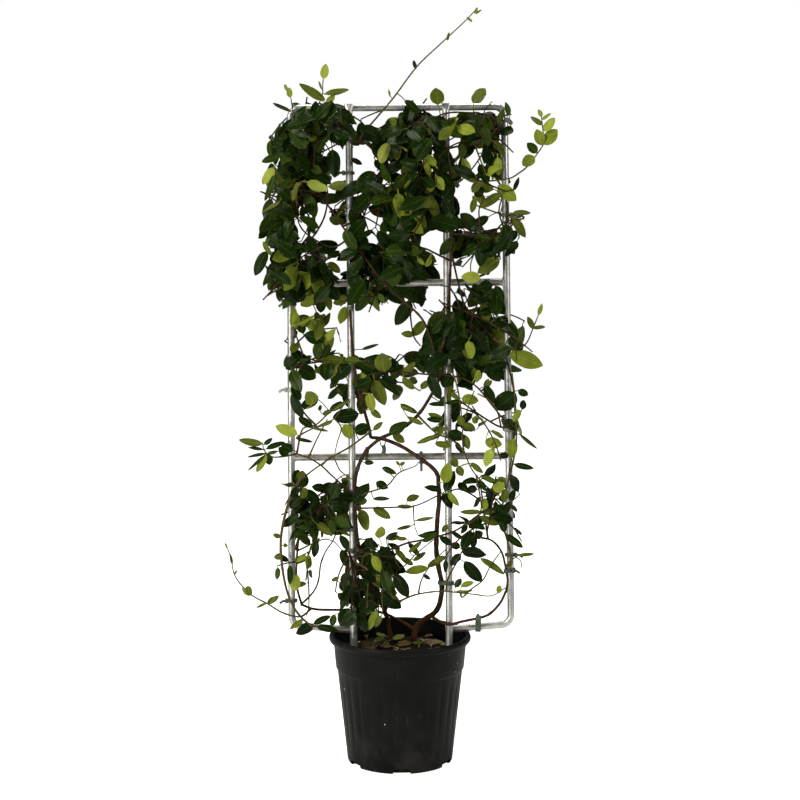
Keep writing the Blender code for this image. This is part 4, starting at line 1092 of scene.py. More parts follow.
CROWN = [  # height, and how far the leaves reach left and right there, in mm
    (-40, -120, 120), (6, -147, 153), (40, -159, 160), (73, -168, 166), (120, -161, 168), (173, -161, 163),
    (213, -158, 164), (267, -154, 161), (306, -151, 164), (333, -151, 161), (353, -151, 172), (373, -148, 180),
    (399, -145, 175), (419, -150, 167), (439, -166, 146), (452, -176, 157), (478, -178, 154), (505, -178, 154),
    (524, -183, 168), (551, -177, 173), (570, -177, 160), (597, -174, 157), (623, -177, 154), (649, -172, 152),
    (668, -163, 155), (685, -147, 153), (697, -135, 145),
]
CROWN_HEIGHTS, CROWN_LEFT, CROWN_RIGHT = zip(*CROWN)


def in_crown(across, height, ragged):
    """Whether a place is within the crown's outline from the front, give or take a ragged edge."""
    if height > CROWN_HEIGHTS[-1] + ragged:
        return False
    left, right = np.interp(height, CROWN_HEIGHTS, CROWN_LEFT), np.interp(height, CROWN_HEIGHTS, CROWN_RIGHT)
    return left - ragged < across < right + ragged


def gap_at(across, height, room=1.0):
    return any(((across - x) / half_x) ** 2 + ((height - z) / half_z) ** 2 < room for x, z, half_x, half_z in GAPS)


SIGHT = UPRIGHT @ Vector(CAMERA_PLACE)


def seen_at(point):
    """Where a point shows on the rack's plane from the front, in mm across and up."""
    on_plane = SIGHT.lerp(point, SIGHT.y / (SIGHT.y - point.y))
    return on_plane.x / MM, on_plane.z / MM


SQUARENESS = 4.0  # two makes an ellipsoid, and more fills its corners
MINGLING = 0.008  # how far the twigs of neighbours reach past the plane between them
TIP_MINGLING = 0.022  # and how far the tips of their leaves do
EDGE_SHARE = (0.80, 1.14)  # how far out leaves reach, so that no mass has a smooth edge


class Space:
    """The room of one mass: rounded outside, and cut by a plane towards each of its neighbours."""

    def __init__(self, name):
        _, middle, half_sizes, *_ = MASSES[name]
        self.middle = Vector(middle) * MM
        self.half = Vector(half_sizes) * MM
        self.planes = []
        reach = (self.half.x + self.half.z) / 2
        for other_name, (_, other_middle, other_half, *_) in MASSES.items():
            if other_name == name:
                continue
            way = Vector(other_middle) * MM - self.middle
            other_reach = (other_half[0] + other_half[2]) * MM / 2
            share = 0.5 + (reach**2 - other_reach**2) / (2 * way.length_squared)
            self.planes.append((way.normalized(), way.length * share))

    def holds(self, point, mingling=MINGLING, share=1.0):
        offset = (point - self.middle) / share
        if sum(abs(offset[axis] / self.half[axis]) ** SQUARENESS for axis in range(3)) > 1:
            return False
        offset *= share
        return all(offset.dot(way) < limit + mingling for way, limit in self.planes)

    def edge(self, way, share):
        """The point in a direction from the middle that lies at this share of the room there."""
        reach = sum(abs(way[axis] / self.half[axis]) ** SQUARENESS for axis in range(3)) ** (-1 / SQUARENESS)
        for plane_way, limit in self.planes:
            if way.dot(plane_way) > 0:
                reach = min(reach, limit / way.dot(plane_way))
        return self.middle + way * reach * share


# %% What leaves keep clear of
POT_ROOM, GROUND_ROOM, BOX_ROOM = 0.004, 0.02, 0.0012


def solids_tree(prefixes):
    """Solids of the frame, in the rack's frame, as one search tree."""
    heap = Heap()
    for name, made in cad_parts.items():
        if name.startswith(prefixes):
            points = [UPRIGHT @ vertex.co for vertex in made.data.vertices]
            heap.add(points, [face.vertices for face in made.data.polygons], None)
    return BVHTree.FromPolygons(heap.points, heap.faces)


RACK_TREE = solids_tree(("rack_", "tie_", "pot"))
BARRIERS = [RACK_TREE, solids_tree(("stem_", "bough_", "loop_", "trail_", "runner_"))]


def clear_of_pot(point):
    place = LEAN @ point
    if place.z > POT_TOP + POT_ROOM:
        return True
    return place.z > GROUND_ROOM and math.hypot(place.x, place.y) > RIM_RADIUS + POT_ROOM


def in_box(point):
    place = LEAN @ point
    return all(low + BOX_ROOM < value < high - BOX_ROOM for low, value, high in zip(cad_box[0], place, cad_box[1]))


class Crowd:
    """All the leaves so far, kept by place, to find those that a new one would cross."""

    CELL = 0.045

    def __init__(self):
        self.cells = {}

    def cell(self, middle, shift=(0, 0, 0)):
        return tuple(int(value // self.CELL) + step for value, step in zip(middle, shift))

    def add(self, middle, reach, tree):
        self.cells.setdefault(self.cell(middle), []).append((middle, reach, tree))

    def crossed(self, middle, reach, tree):
        for shift in itertools.product((-1, 0, 1), repeat=3):
            for other_middle, other_reach, other in self.cells.get(self.cell(middle, shift), ()):
                if (other_middle - middle).length < reach + other_reach and tree.overlap(other):
                    return True
        return False


CROWD = Crowd()


def try_place(leaf, barriers):
    """Takes a leaf into the crowd, if it crosses nothing."""
    middle, reach = leaf.root + leaf.along * leaf.length / 2, leaf.length / 2
    tree = BVHTree.FromPolygons(*leaf.proxy())
    if any(tree.overlap(barrier) for barrier in barriers) or CROWD.crossed(middle, reach, tree):
        return False
    CROWD.add(middle, reach, tree)
    return True


# %% [markdown]
# ### Shoots and runners
# Young shoots wave free of the rack, and thin runners scramble across its open windows. They follow listed
# routes as the limbs do. The six free shoots are solids of the frame, so their new meshes replace those.

# %% Shoots
SHOOTS = {  # limb, route in mm, leaves as (age, root across and up, tip across and up, width in mm)
    "shoot_top": ("runner_top", [
        (-50, -16, 648), (-44, -15, 656), (-24, -16, 679), (-4, -17, 702), (26, -18, 741), (56, -19, 769),
        (87, -20, 797), (104, -22, 814),
    ], [("dark", 25, 738, 21, 749, 6), ("young", -9, 702, -11, 711, 3), ("olive", 66, 774, 68, 784, 4),
        ("young", 98, 798, 91, 804, 5), ("young", 102, 808, 105, 816, 4), ("olive", 103, 808, 110, 812, 4)]),
    "shoot_top_left": ("runner_left_high", [
        (-131, -15, 562), (-134, -24, 590), (-124, -24, 640), (-108, -22, 680), (-98, -19, 704), (-97, -18, 718),
        (-96, -18, 728),
    ], [("olive", -94, 698, -129, 718, 12), ("olive", -95, 706, -63, 713, 10), ("young", -93, 694, -81, 704, 9),
        ("fresh", -96, 726, -92, 745, 11), ("olive", -98, 712, -103, 724, 3)]),
    "shoot_upper_right": ("bough_right_leg", [
        (68, -26, 610), (96, -26, 592), (141, -19, 594), (157, -15, 601), (171, -14, 612), (184, -14, 629),
        (191, -14, 641), (190, -14, 658), (188, -14, 676),
    ], [("young", 178, 624, 164, 611, 16), ("young", 188, 638, 183, 659, 14), ("young", 191, 639, 209, 659, 17),
        ("fresh", 191, 656, 205, 674, 12), ("olive", 189, 664, 175, 677, 8), ("young", 189, 675, 184, 685, 6),
        ("young", 189, 671, 200, 680, 5), ("green", 182, 628, 170, 642, 12)]),
    "shoot_right": ("trail_right_high", [
        (124, -17, 386), (148, -17, 372), (166, -15, 378), (176, -15, 399), (183, -15, 416),
    ], [("olive", 177, 398, 169, 414, 8), ("olive", 176, 399, 192, 402, 6), ("young", 183, 416, 189, 431, 6)]),
    "shoot_left": ("runner_left_mid", [
        (-137, -15, 236), (-152, -17, 233), (-167, -17, 232), (-176, -17, 237), (-180, -17, 244), (-181, -17, 251),
    ], [("olive", -181, 250, -213, 253, 10), ("dark", -179, 249, -168, 257, 7), ("dark", -176, 243, -152, 254, 8),
        ("dark", -180, 242, -201, 246, 5), ("dark", -177, 237, -202, 234, 5), ("dark", -178, 235, -200, 213, 5),
        ("young", -176, 235, -189, 212, 11), ("dark", -175, 236, -171, 221, 12), ("green", -175, 237, -160, 239, 5),
        ("dark", -148, 234, -158, 246, 13)]),
    "shoot_low_left": ("loop_left_low", [
        (-118, -4, 26), (-134, -17, 20), (-157, -15, 25), (-177, -14, 37), (-197, -14, 48), (-213, -14, 64),
        (-221, -14, 78), (-225, -14, 98), (-230, -14, 114),
    ], [("young", -198, 49, -209, 60, 10), ("olive", -177, 37, -163, 49, 9), ("olive", -178, 38, -192, 34, 4),
        ("olive", -221, 76, -216, 83, 4), ("olive", -223, 90, -226, 104, 4), ("young", -230, 112, -232, 119, 3)]),
}
SHOOT_RADII = (0.00130, 0.00065)
SHOOT_SPACING, RUNNER_SPACING = 0.003, 0.004
SHOOT_SIDES, SHOOT_RUGGED = 9, 0.3


def leaf_ends(row, depth, rng):
    """Root and tip of a listed leaf, with its tip a little before or behind its root."""
    root_across, root_height, tip_across, tip_height, _ = row
    root = Vector((root_across, depth, root_height)) * MM
    return root, Vector((tip_across, depth + rng.uniform(-5, 3), tip_height)) * MM


def laid_leaf(knot, root, tip, width, front, lift, rng):
    facing = Vector((rng.gauss(0, 0.3), front, rng.gauss(*lift)))
    leaf = Leaf(knot, root, tip - root, facing, (tip - root).length, width * MM, rng)
    leaf.curl *= 0.6
    return leaf


stem_lines = []  # every line that a placed leaf may hang from
for number, (name, (parent, route, rows)) in enumerate(SHOOTS.items()):
    rng = random.Random(500 + number)
    route = [limbs[parent].nearest(Vector(route[0]) * MM)[0]] + [Vector(point) * MM for point in route[1:]]
    path = even_path(smooth_path(route, 6), SHOOT_SPACING)
    heap, shoot = Heap(), Limb(path, tapered(path, *SHOOT_RADII))
    heap.add(*barked(shoot, SHOOT_SIDES, 60 + number, SHOOT_RUGGED), OLIVE_BARK)
    for age, *row in rows:
        knot = min(path, key=lambda point: math.hypot(point.x / MM - row[0], point.z / MM - row[1]))
        leaf = laid_leaf(knot, *leaf_ends(row, knot.y / MM - 1, rng), row[-1], -1, (0.3, 0.3), rng)
        try_place(leaf, [])
        add_leaf(heap, leaf, age)
    build(name + "_spray", heap, sharp=55, place=LEAN, replaces=[name])
    stem_lines.append(path)
print("shoots:", len(SHOOTS))

# %% Runners
RUNNER_GIRTH, RUNNER_JOIN = 1.4, 0.045
RUNNERS = [  # finish, radii in mm before girth, depth in mm, route across and up in mm
    # across the left window and the arch
    (OLIVE_BARK, 1.0, 0.6, -19, [
        (-40, 264), (-66, 245), (-86, 234), (-101, 224), (-117, 213), (-134, 199), (-144, 183), (-152, 169),
    ]),
    (OLIVE_BARK, 0.9, 0.6, -18, [(-135, 241), (-128, 269), (-111, 274), (-95, 288), (-80, 300), (-69, 307)]),
    (OLIVE_BARK, 0.9, 0.6, -17, [(-111, 274), (-125, 289), (-134, 307), (-135, 345), (-139, 391)]),
    (RED_BARK, 0.9, 0.7, -20, [
        (-50, 305), (-41, 339), (-4, 343), (32, 340), (75, 336), (100, 324), (123, 296), (147, 267),
    ]),
    (RED_BARK, 0.8, 0.6, -22, [(15, 419), (19, 390), (28, 377)]),
    (OLIVE_BARK, 0.8, 0.6, -21, [(62, 352), (72, 336), (79, 305), (81, 284)]),
    (OLIVE_BARK, 0.8, 0.5, -21, [(-102, 222), (-89, 232), (-79, 214), (-63, 202)]),
    (OLIVE_BARK, 0.9, 0.5, -20, [(-60, 178), (-45, 184), (-18, 193), (-2, 210), (20, 219), (24, 225)]),
    # right window
    (OLIVE_BARK, 0.9, 0.5, -19, [(48, 262), (67, 254), (84, 237), (93, 216), (108, 197), (128, 180), (142, 176)]),
    (OLIVE_BARK, 0.8, 0.5, -20, [(84, 237), (82, 262), (88, 290), (98, 318)]),
    (OLIVE_BARK, 0.8, 0.5, -20, [(100, 206), (104, 184), (106, 160), (96, 146), (80, 136)]),
    # lower windows
    (RED_BARK, 0.8, 0.6, -22, [(-57, 164), (-9, 165), (20, 167), (53, 182)]),
    (OLIVE_BARK, 0.6, 0.4, -22, [(17, 167), (18, 143), (23, 127)]),
    (RED_BARK, 1.1, 0.7, -24, [
        (-58, 112), (-45, 104), (-19, 108), (9, 118), (29, 122), (66, 131), (87, 143), (107, 157), (136, 166),
    ]),
    (OLIVE_BARK, 0.8, 0.5, -19, [(-2, 40), (20, 49), (52, 53), (74, 51), (98, 48), (119, 46), (139, 57)]),
    (OLIVE_BARK, 0.8, 0.5, -17, [(-134, 109), (-113, 119), (-99, 123), (-87, 119)]),
    (RED_BARK, 0.9, 0.6, -17, [(-131, 38), (-116, 53), (-109, 69), (-106, 90), (-99, 107), (-90, 120), (-85, 132)]),
    (OLIVE_BARK, 1.4, 1.0, -20, [
        (-128, 208), (-143, 182), (-152, 156), (-158, 124), (-157, 90), (-151, 56), (-141, 32), (-129, 16), (-116, 7),
    ]),
    # right post and corner
    (OLIVE_BARK, 0.8, 0.5, -20, [(80, 44), (92, 55), (108, 67), (118, 86), (132, 105)]),
    (OLIVE_BARK, 0.9, 0.5, -20, [(62, 70), (74, 92), (81, 106), (98, 130), (103, 156)]),
    (OLIVE_BARK, 1.1, 0.7, -17, [
        (146, 88), (141, 118), (133, 150), (139, 186), (147, 216), (153, 250), (152, 300), (148, 340),
    ]),
    # left post and window
    (RED_BARK, 1.2, 0.8, -17, [(-138, 112), (-132, 140), (-142, 168), (-136, 200)]),
    (OLIVE_BARK, 0.8, 0.5, -20, [(-135, 259), (-114, 270), (-88, 281), (-75, 298), (-66, 308)]),
    (OLIVE_BARK, 0.7, 0.4, -20, [(-77, 270), (-82, 253), (-86, 236)]),
    (OLIVE_BARK, 0.8, 0.5, -20, [(-118, 237), (-108, 258), (-95, 282)]),
    # fine ones low down
    (OLIVE_BARK, 0.7, 0.5, -21, [(23, 52), (28, 71), (44, 94), (59, 108)]),
    (OLIVE_BARK, 0.7, 0.5, -22, [(-1, 85), (22, 105), (45, 123)]),
    (OLIVE_BARK, 0.7, 0.4, -17, [(138, 84), (150, 96), (158, 92), (160, 80)]),
    # inside the crown
    (RED_BARK, 1.2, 0.9, -17, [(112, 470), (128, 488), (138, 520), (143, 556), (134, 586), (120, 606)]),
    (RED_BARK, 1.1, 0.8, -19, [(-112, 596), (-106, 640), (-86, 648), (-58, 645), (-38, 640), (-26, 622), (-22, 598)]),
    (RED_BARK, 1.1, 0.7, -18, [
        (-126, 590), (-140, 640), (-132, 668), (-108, 682), (-74, 681), (-50, 672), (-36, 655),
    ]),
    (RED_BARK, 1.0, 0.6, -17, [(30, 640), (44, 668), (62, 680), (92, 681), (120, 677), (134, 664)]),
    (RED_BARK, 1.0, 0.7, -20, [(64, 622), (84, 604), (112, 590), (140, 578)]),
    (OLIVE_BARK, 0.7, 0.4, -16, [(-112, 668), (-130, 673), (-136, 684), (-139, 702), (-145, 719)]),
    (RED_BARK, 1.0, 0.7, -22, [(-128, 508), (-112, 520), (-96, 548), (-92, 580), (-100, 606)]),
]


def lay_runner(depth, route, rng):
    """A thin stem from the nearest limb or runner, through a listed route a little off the rack."""
    points = [Vector((across, depth + rng.uniform(-2.5, 1.0), height)) * MM for across, height in route]
    lines = stem_lines + [limb.path for limb in limbs.values()]
    near = min((point for line in lines for point in line), key=lambda point: (point - points[0]).length)
    if (near - points[0]).length < RUNNER_JOIN:
        points.insert(0, near)
    return even_path(smooth_path(points, 6), RUNNER_SPACING)


heap = Heap()
for number, (bark, start, end, depth, route) in enumerate(RUNNERS):
    path = lay_runner(depth, route, random.Random(700 + number))
    runner = Limb(path, tapered(path, RUNNER_GIRTH * start * MM, RUNNER_GIRTH * end * MM))
    heap.add(*barked(runner, SHOOT_SIDES, 80 + number, SHOOT_RUGGED), bark)
    stem_lines.append(path)
build("runners", heap, place=LEAN)
print("runners:", len(RUNNERS))

# %% [markdown]
# ### Growing the masses
# All twigs grow first, so that no leaf is pierced by one that comes later. Leaves follow, knot by knot, with the
# listed ones before the rest.

# %% Twigs of the masses
LEAF_LENGTH, LEAF_WIDTH = 0.0305, 0.0162
TWIG_RADIUS, FINE_RADIUS = 0.00125, 0.00090
KNOT_STEP = 0.021
LEAF_TRIES, TWIG_TRIES = 10, 10
GAP_ROOM = 1.25
GOLDEN_ANGLE = math.radians(137.5)
FRONT_SHARE = 0.65
STEM_STRAY, STEM_REACH, STEM_RADII = 0.25, 0.86, (0.00150, 0.00100)
STEM_RISE = Vector((0, 0, 0.02))
TWIG_DENSITY, TWIG_REACH, TWIG_ARCH = 2.6, (0.62, 0.95), 0.006
SIDE_TWIGS, SIDE_LENGTH = 0.75, (0.022, 0.045)  # finer ones on each knot, and how long they are
OLD_TONES = ["deep"] * 6 + ["dark"] * 8 + ["green"] * 3
YOUNG_TONES = ["olive"] * 5 + ["young"] * 4 + ["fresh"]


def arched(root, end, rng, spacing):
    """A twig's line, arching a little, with points a spacing apart."""
    steps = max(2, round((end - root).length / spacing))
    arch = Vector((rng.uniform(-1, 1), rng.uniform(-1, 1), rng.uniform(0.2, 1.4))) * TWIG_ARCH
    shares = [step / steps for step in range(steps + 1)]
    return [root.lerp(end, share) + arch * 4 * share * (1 - share) for share in shares]


def along_path(path, share):
    place = min(share * (len(path) - 1), len(path) - 1.001)
    return path[int(place)].lerp(path[int(place) + 1], place - int(place))


def thin_tree(path, radius=TWIG_RADIUS):
    """A thin stem as a search tree, to find what it would touch."""
    return BVHTree.FromPolygons(*sweep(path, [radius] * len(path), 3))


def twig_clear(path, space):
    """Whether a twig stays in its space and passes every tube and limb."""
    if not all(space.holds(point) and clear_of_pot(point) for point in path[1:]):
        return False
    if gap_at(*seen_at(path[-1])) or not in_crown(*seen_at(path[-1]), 0):
        return False
    tree = thin_tree(path[1:])
    return not any(tree.overlap(barrier) for barrier in BARRIERS[:2])


def grow_twigs(name):
    """The twigs of a mass, as (line, start radius, end radius, shades, first knot with leaves)."""
    parent, _, _, twig_count, seed, fullness, young, _ = MASSES[name]
    rng = random.Random(seed)
    space = Space(name)
    for _ in range(60):
        middle = space.middle + Vector([rng.uniform(-STEM_STRAY, STEM_STRAY) * half for half in space.half])
        point, _, _ = limbs[parent].nearest(middle)
        far = space.edge(middle - point + STEM_RISE, STEM_REACH)
        stem = even_path(smooth_path([point, point.lerp(middle, 0.5), middle, far], 4), KNOT_STEP)
        if not thin_tree(stem[1:]).overlap(RACK_TREE):
            break
    grown = [(stem, *STEM_RADII, OLD_TONES, 2)]
    turn = rng.uniform(0, math.tau)
    main_twigs = round(twig_count * TWIG_DENSITY * fullness)
    for number in range(main_twigs):
        root = along_path(stem, 0.2 + 0.8 * number / main_twigs)
        for _ in range(TWIG_TRIES):
            turn += GOLDEN_ANGLE
            spread = Vector((math.cos(turn), rng.uniform(-0.95, 0.95), math.sin(turn)))
            path = arched(root, space.edge(spread, rng.uniform(*TWIG_REACH)), rng, KNOT_STEP)
            if (path[-1] - root).length > KNOT_STEP and twig_clear(path, space):
                break
        else:
            continue
        shades = YOUNG_TONES if rng.random() < young else OLD_TONES
        grown.append((path, TWIG_RADIUS, FINE_RADIUS, shades, 1))
        for place in range(1, len(path) - 1):
            if rng.random() > SIDE_TWIGS * fullness:
                continue
            way = (path[place] - path[place - 1]).normalized()
            for _ in range(4):
                side = Vector((rng.gauss(0, 1), rng.gauss(0, 0.8), rng.gauss(0.2, 1))).cross(way).normalized()
                end = path[place] + (side + way * 0.5).normalized() * rng.uniform(*SIDE_LENGTH)
                fine = arched(path[place], end, rng, KNOT_STEP * 0.8)
                if twig_clear(fine, space):
                    fine_shades = YOUNG_TONES if rng.random() < young else shades
                    grown.append((fine, FINE_RADIUS, FINE_RADIUS * 0.75, fine_shades, 1))
                    break
    return grown


mass_twigs = {name: grow_twigs(name) for name in MASSES}
print("twigs in the masses:", sum(len(twigs) for twigs in mass_twigs.values()))

# %% Twig meshes
for name, twigs in mass_twigs.items():
    heap, thin = Heap(), Heap()
    for line, start, end, shades, _ in twigs:
        fine = smooth_path(line, 3)
        heap.add(*sweep(fine, tapered(fine, start, end), 7), OLIVE_BARK if shades is YOUNG_TONES else RED_BARK)
        thin.add(*sweep(line[1:], [end] * (len(line) - 1), 3), None)
        stem_lines.append(line)
    build("twigs_" + name, heap, place=LEAN)
    BARRIERS.append(BVHTree.FromPolygons(thin.points, thin.faces))

# %% [markdown]
# ### Placed leaves
# Leaves that show by themselves, in the windows and round the edge, are placed one by one: root, tip and width as
# they stand before the rack. Each tries a few depths until it crosses nothing, and hangs from the nearest stem.

# %% Placed leaves
PLACED_LEAVES = {  # age: root across and up, tip across and up, width, in mm
    "deep": [
        (-53, 83, -33, 66, 16), (-70, 54, -53, 31, 17), (-47, 593, -76, 570, 17), (-63, 556, -42, 527, 20),
        (-64, 505, -43, 479, 20), (73, 621, 54, 603, 16), (57, 567, 76, 546, 17), (-134, 362, -151, 349, 18),
        (-142, 314, -128, 283, 14), (-54, 288, -88, 283, 20), (63, 365, 32, 344, 23), (39, 339, 54, 307, 16),
        (72, 357, 95, 336, 13), (141, 354, 111, 341, 20), (143, 233, 130, 230, 9), (57, 301, 38, 300, 6),
        (64, 263, 85, 254, 15), (54, 187, 32, 194, 9), (56, 183, 68, 161, 13), (-28, 99, 5, 75, 22),
        (-28, 52, 0, 29, 20), (-117, 10, -139, -3, 15), (81, 105, 114, 102, 17), (84, 92, 106, 62, 17),
        (79, 102, 64, 88, 11), (124, 152, 148, 147, 17), (101, 188, 87, 188, 11), (114, 189, 124, 172, 11),
        (-61, 622, -46, 615, 7), (151, 579, 159, 596, 6), (118, 545, 91, 530, 13), (98, 396, 115, 367, 23),
    ],
    "dark": [
        (-106, 293, -103, 301, 5), (-137, 257, -114, 251, 5), (112, 323, 124, 299, 11), (-47, 123, -30, 112, 11),
        (-78, 109, -70, 86, 12), (-70, 80, -79, 57, 14), (-59, 69, -45, 51, 17), (-71, 31, -82, 8, 17),
        (-56, 25, -48, -1, 16), (-44, 89, -58, 106, 14), (-30, 603, -54, 581, 20), (-36, 575, -60, 553, 20),
        (-43, 542, -68, 516, 18), (-51, 505, -82, 491, 18), (-48, 496, -68, 468, 17), (45, 636, 73, 621, 16),
        (52, 606, 72, 585, 14), (72, 588, 57, 565, 17), (77, 532, 43, 543, 26), (-139, 684, -163, 695, 6),
        (-98, 386, -125, 392, 18), (-49, 373, -27, 380, 5), (-65, 353, -86, 333, 18), (-131, 351, -111, 334, 20),
        (-107, 309, -131, 299, 14), (-133, 284, -113, 273, 11), (-59, 264, -40, 273, 16), (-26, 334, 0, 311, 10),
        (-36, 333, -61, 323, 15), (-21, 344, 7, 351, 9), (57, 388, 28, 368, 23), (67, 340, 57, 322, 19),
        (111, 324, 125, 303, 13), (152, 314, 126, 289, 27), (155, 267, 137, 280, 14), (156, 318, 169, 310, 10),
        (151, 219, 176, 214, 8), (82, 304, 59, 302, 7), (57, 279, 35, 281, 8), (-141, 241, -156, 248, 13),
        (43, 383, 34, 395, 10), (143, 386, 164, 372, 15), (-91, 177, -80, 199, 14), (-62, 171, -43, 199, 20),
        (-61, 176, -84, 179, 16), (-32, 198, -16, 190, 12), (-36, 176, -14, 178, 6), (59, 185, 70, 213, 14),
        (-111, 121, -114, 99, 10), (-8, 77, 8, 44, 18), (-65, 61, -77, 43, 14), (-37, 45, -54, 25, 22),
        (-60, 28, -77, 11, 19), (-116, 11, -94, 23, 9), (-112, 7, -83, 2, 10), (81, 109, 93, 134, 14),
        (97, 125, 108, 131, 12), (78, 111, 66, 116, 10), (100, 192, 111, 196, 11), (150, 221, 176, 214, 8),
        (138, 127, 162, 111, 10), (27, 128, 52, 130, 7), (29, 76, 38, 68, 6), (-47, 224, -35, 225, 7),
        (-85, 634, -84, 597, 20), (-172, 502, -192, 473, 15), (10, 697, 29, 681, 11), (15, 436, -3, 403, 20),
        (-97, 624, -113, 623, 15), (151, 659, 134, 652, 15), (-1, 109, -17, 117, 8), (82, 122, 66, 133, 7),
        (105, 200, 112, 185, 7), (-131, 181, -146, 164, 12), (-134, 156, -157, 139, 12), (-131, 158, -106, 146, 12),
        (-119, 164, -108, 178, 10), (71, 58, 79, 70, 9), (72, 421, 54, 390, 20), (143, 412, 122, 401, 16),
        (141, 405, 155, 385, 15), (-47, 123, -33, 109, 12), (-20, 123, -4, 132, 7), (-95, 187, -85, 200, 10),
        (-99, 164, -87, 147, 11),
    ],
    "green": [
        (50, 127, 22, 128, 8), (10, 117, 27, 100, 8), (-42, 48, -53, 28, 16), (-88, 23, -94, 8, 11),
        (-70, 528, -57, 502, 16), (72, 518, 56, 494, 16), (-102, 380, -112, 361, 9), (-50, 357, -30, 348, 8),
        (157, 260, 181, 239, 5), (-14, 262, 11, 277, 16), (99, 267, 82, 272, 11), (-24, 217, -4, 210, 9),
        (106, 206, 129, 196, 8), (14, 140, -6, 135, 5), (-153, 627, -178, 620, 11), (-161, 602, -171, 567, 11),
        (-117, 522, -107, 492, 15), (-39, 450, -58, 424, 19), (23, 289, 0, 300, 8), (-129, 191, -137, 210, 10),
        (29, 120, 49, 131, 8),
    ],
    "olive": [
        (-88, 293, -66, 308, 4), (-89, 280, -112, 271, 4), (-113, 269, -93, 268, 4), (-101, 289, -88, 293, 7),
        (-38, 294, -25, 282, 9), (-35, 267, -22, 277, 7), (6, 334, 17, 319, 8), (57, 264, 38, 253, 7),
        (61, 268, 41, 266, 8), (84, 274, 99, 267, 11), (81, 285, 78, 274, 8), (67, 315, 78, 307, 7),
        (70, 329, 59, 302, 8), (113, 320, 117, 333, 9), (-18, 123, -1, 127, 8), (8, 123, -8, 123, 6),
        (-7, 109, 7, 94, 8), (-82, 72, -93, 68, 6), (16, 88, -1, 100, 8), (-73, 360, -106, 361, 11),
        (-33, 333, -22, 298, 19), (-20, 344, -23, 369, 23), (4, 340, 22, 355, 10), (4, 335, 19, 320, 10),
        (98, 347, 101, 328, 11), (87, 377, 95, 360, 15), (115, 322, 120, 332, 8), (84, 260, 90, 240, 11),
        (46, 259, 22, 248, 7), (46, 249, 68, 245, 9), (-9, 262, 6, 250, 11), (1, 298, 19, 291, 6),
        (82, 272, 78, 286, 10), (-89, 278, -109, 273, 5), (-129, 178, -125, 193, 10), (-135, 204, -127, 213, 9),
        (8, 174, 25, 181, 10), (-36, 164, -12, 152, 12), (-4, 166, 17, 165, 6), (-110, 145, -93, 131, 12),
        (35, 85, 58, 102, 9), (-155, 101, -168, 101, 9), (-159, 126, -168, 131, 7), (105, 96, 139, 77, 9),
        (105, 151, 131, 138, 11), (106, 158, 125, 158, 9), (106, 158, 78, 157, 7), (139, 188, 136, 170, 11),
        (155, 100, 177, 101, 5), (73, 217, 70, 231, 11), (76, 218, 81, 205, 11), (20, 147, 44, 151, 5),
        (61, 141, 55, 132, 7), (-155, 115, -149, 116, 6), (-203, 62, -199, 49, 9), (-174, 38, -163, 49, 7),
        (93, 222, 99, 218, 7), (-177, 515, -167, 495, 7), (-142, 604, -160, 589, 11), (-154, 567, -180, 553, 6),
        (-92, 487, -76, 474, 11), (-96, 452, -90, 424, 12), (-68, 442, -85, 432, 14), (-39, 450, -26, 421, 9),
        (53, 691, 52, 714, 19), (99, 693, 113, 713, 18), (35, 625, 19, 633, 15), (134, 575, 106, 556, 13),
        (100, 569, 97, 550, 9), (106, 590, 96, 577, 11), (150, 545, 166, 517, 12), (150, 550, 173, 551, 7),
        (132, 490, 103, 472, 17), (110, 430, 118, 409, 15), (34, 409, 17, 390, 14), (20, 392, 3, 393, 9),
        (41, 570, 52, 545, 14), (126, 644, 139, 623, 12), (-116, 647, -104, 650, 8), (-110, 144, -90, 129, 10),
        (-81, 135, -65, 128, 6), (10, 106, 29, 118, 7), (16, 94, 35, 104, 7), (57, 280, 37, 289, 8),
        (30, 274, 9, 284, 7), (94, 223, 108, 208, 8), (108, 205, 125, 197, 7), (0, 220, 6, 225, 5),
        (-1, 220, -5, 226, 4), (44, 92, 57, 101, 7),
    ],
    "young": [
        (158, 292, 148, 276, 9), (104, 345, 101, 329, 9), (-139, 702, -142, 715, 8), (-144, 711, -147, 720, 4),
        (-112, 302, -120, 319, 20), (-72, 275, -66, 255, 15), (-41, 316, -34, 290, 13), (145, 366, 189, 350, 23),
        (112, 251, 134, 246, 15), (149, 254, 146, 228, 14), (82, 308, 104, 304, 14), (59, 197, 62, 223, 16),
        (63, 184, 76, 165, 9), (35, 84, 5, 80, 12), (-130, 17, -148, 4, 9), (79, 59, 95, 67, 8),
        (128, 50, 131, 60, 8), (110, 160, 112, 176, 10), (-106, 448, -129, 431, 20), (-69, 429, -77, 406, 15),
        (54, 605, 66, 588, 15), (35, 620, 43, 597, 8), (131, 586, 154, 565, 18), (90, 383, 95, 360, 14),
        (25, 492, 33, 483, 6), (35, 481, 44, 494, 9), (-8, 675, -3, 663, 9), (73, 53, 95, 51, 5),
    ],
    "fresh": [
        (-135, 262, -163, 274, 15), (-29, 124, -25, 140, 16), (-33, 28, -43, 2, 11), (-141, 55, -138, 77, 14),
        (123, 185, 137, 196, 14), (107, 466, 82, 467, 15),
    ],
}
DEPTHS = (-20, -25, -30, -16, -36, -44, 14, 22, 32)
LONGEST_SPUR, SPUR_RADIUS = 0.034, 0.0006



def search_tree(points):
    tree = KDTree(len(points))
    for number, point in enumerate(points):
        tree.insert(point, number)
    tree.balance()
    return tree


nearby = search_tree([point for line in stem_lines + [limb.path for limb in limbs.values()] for point in line])


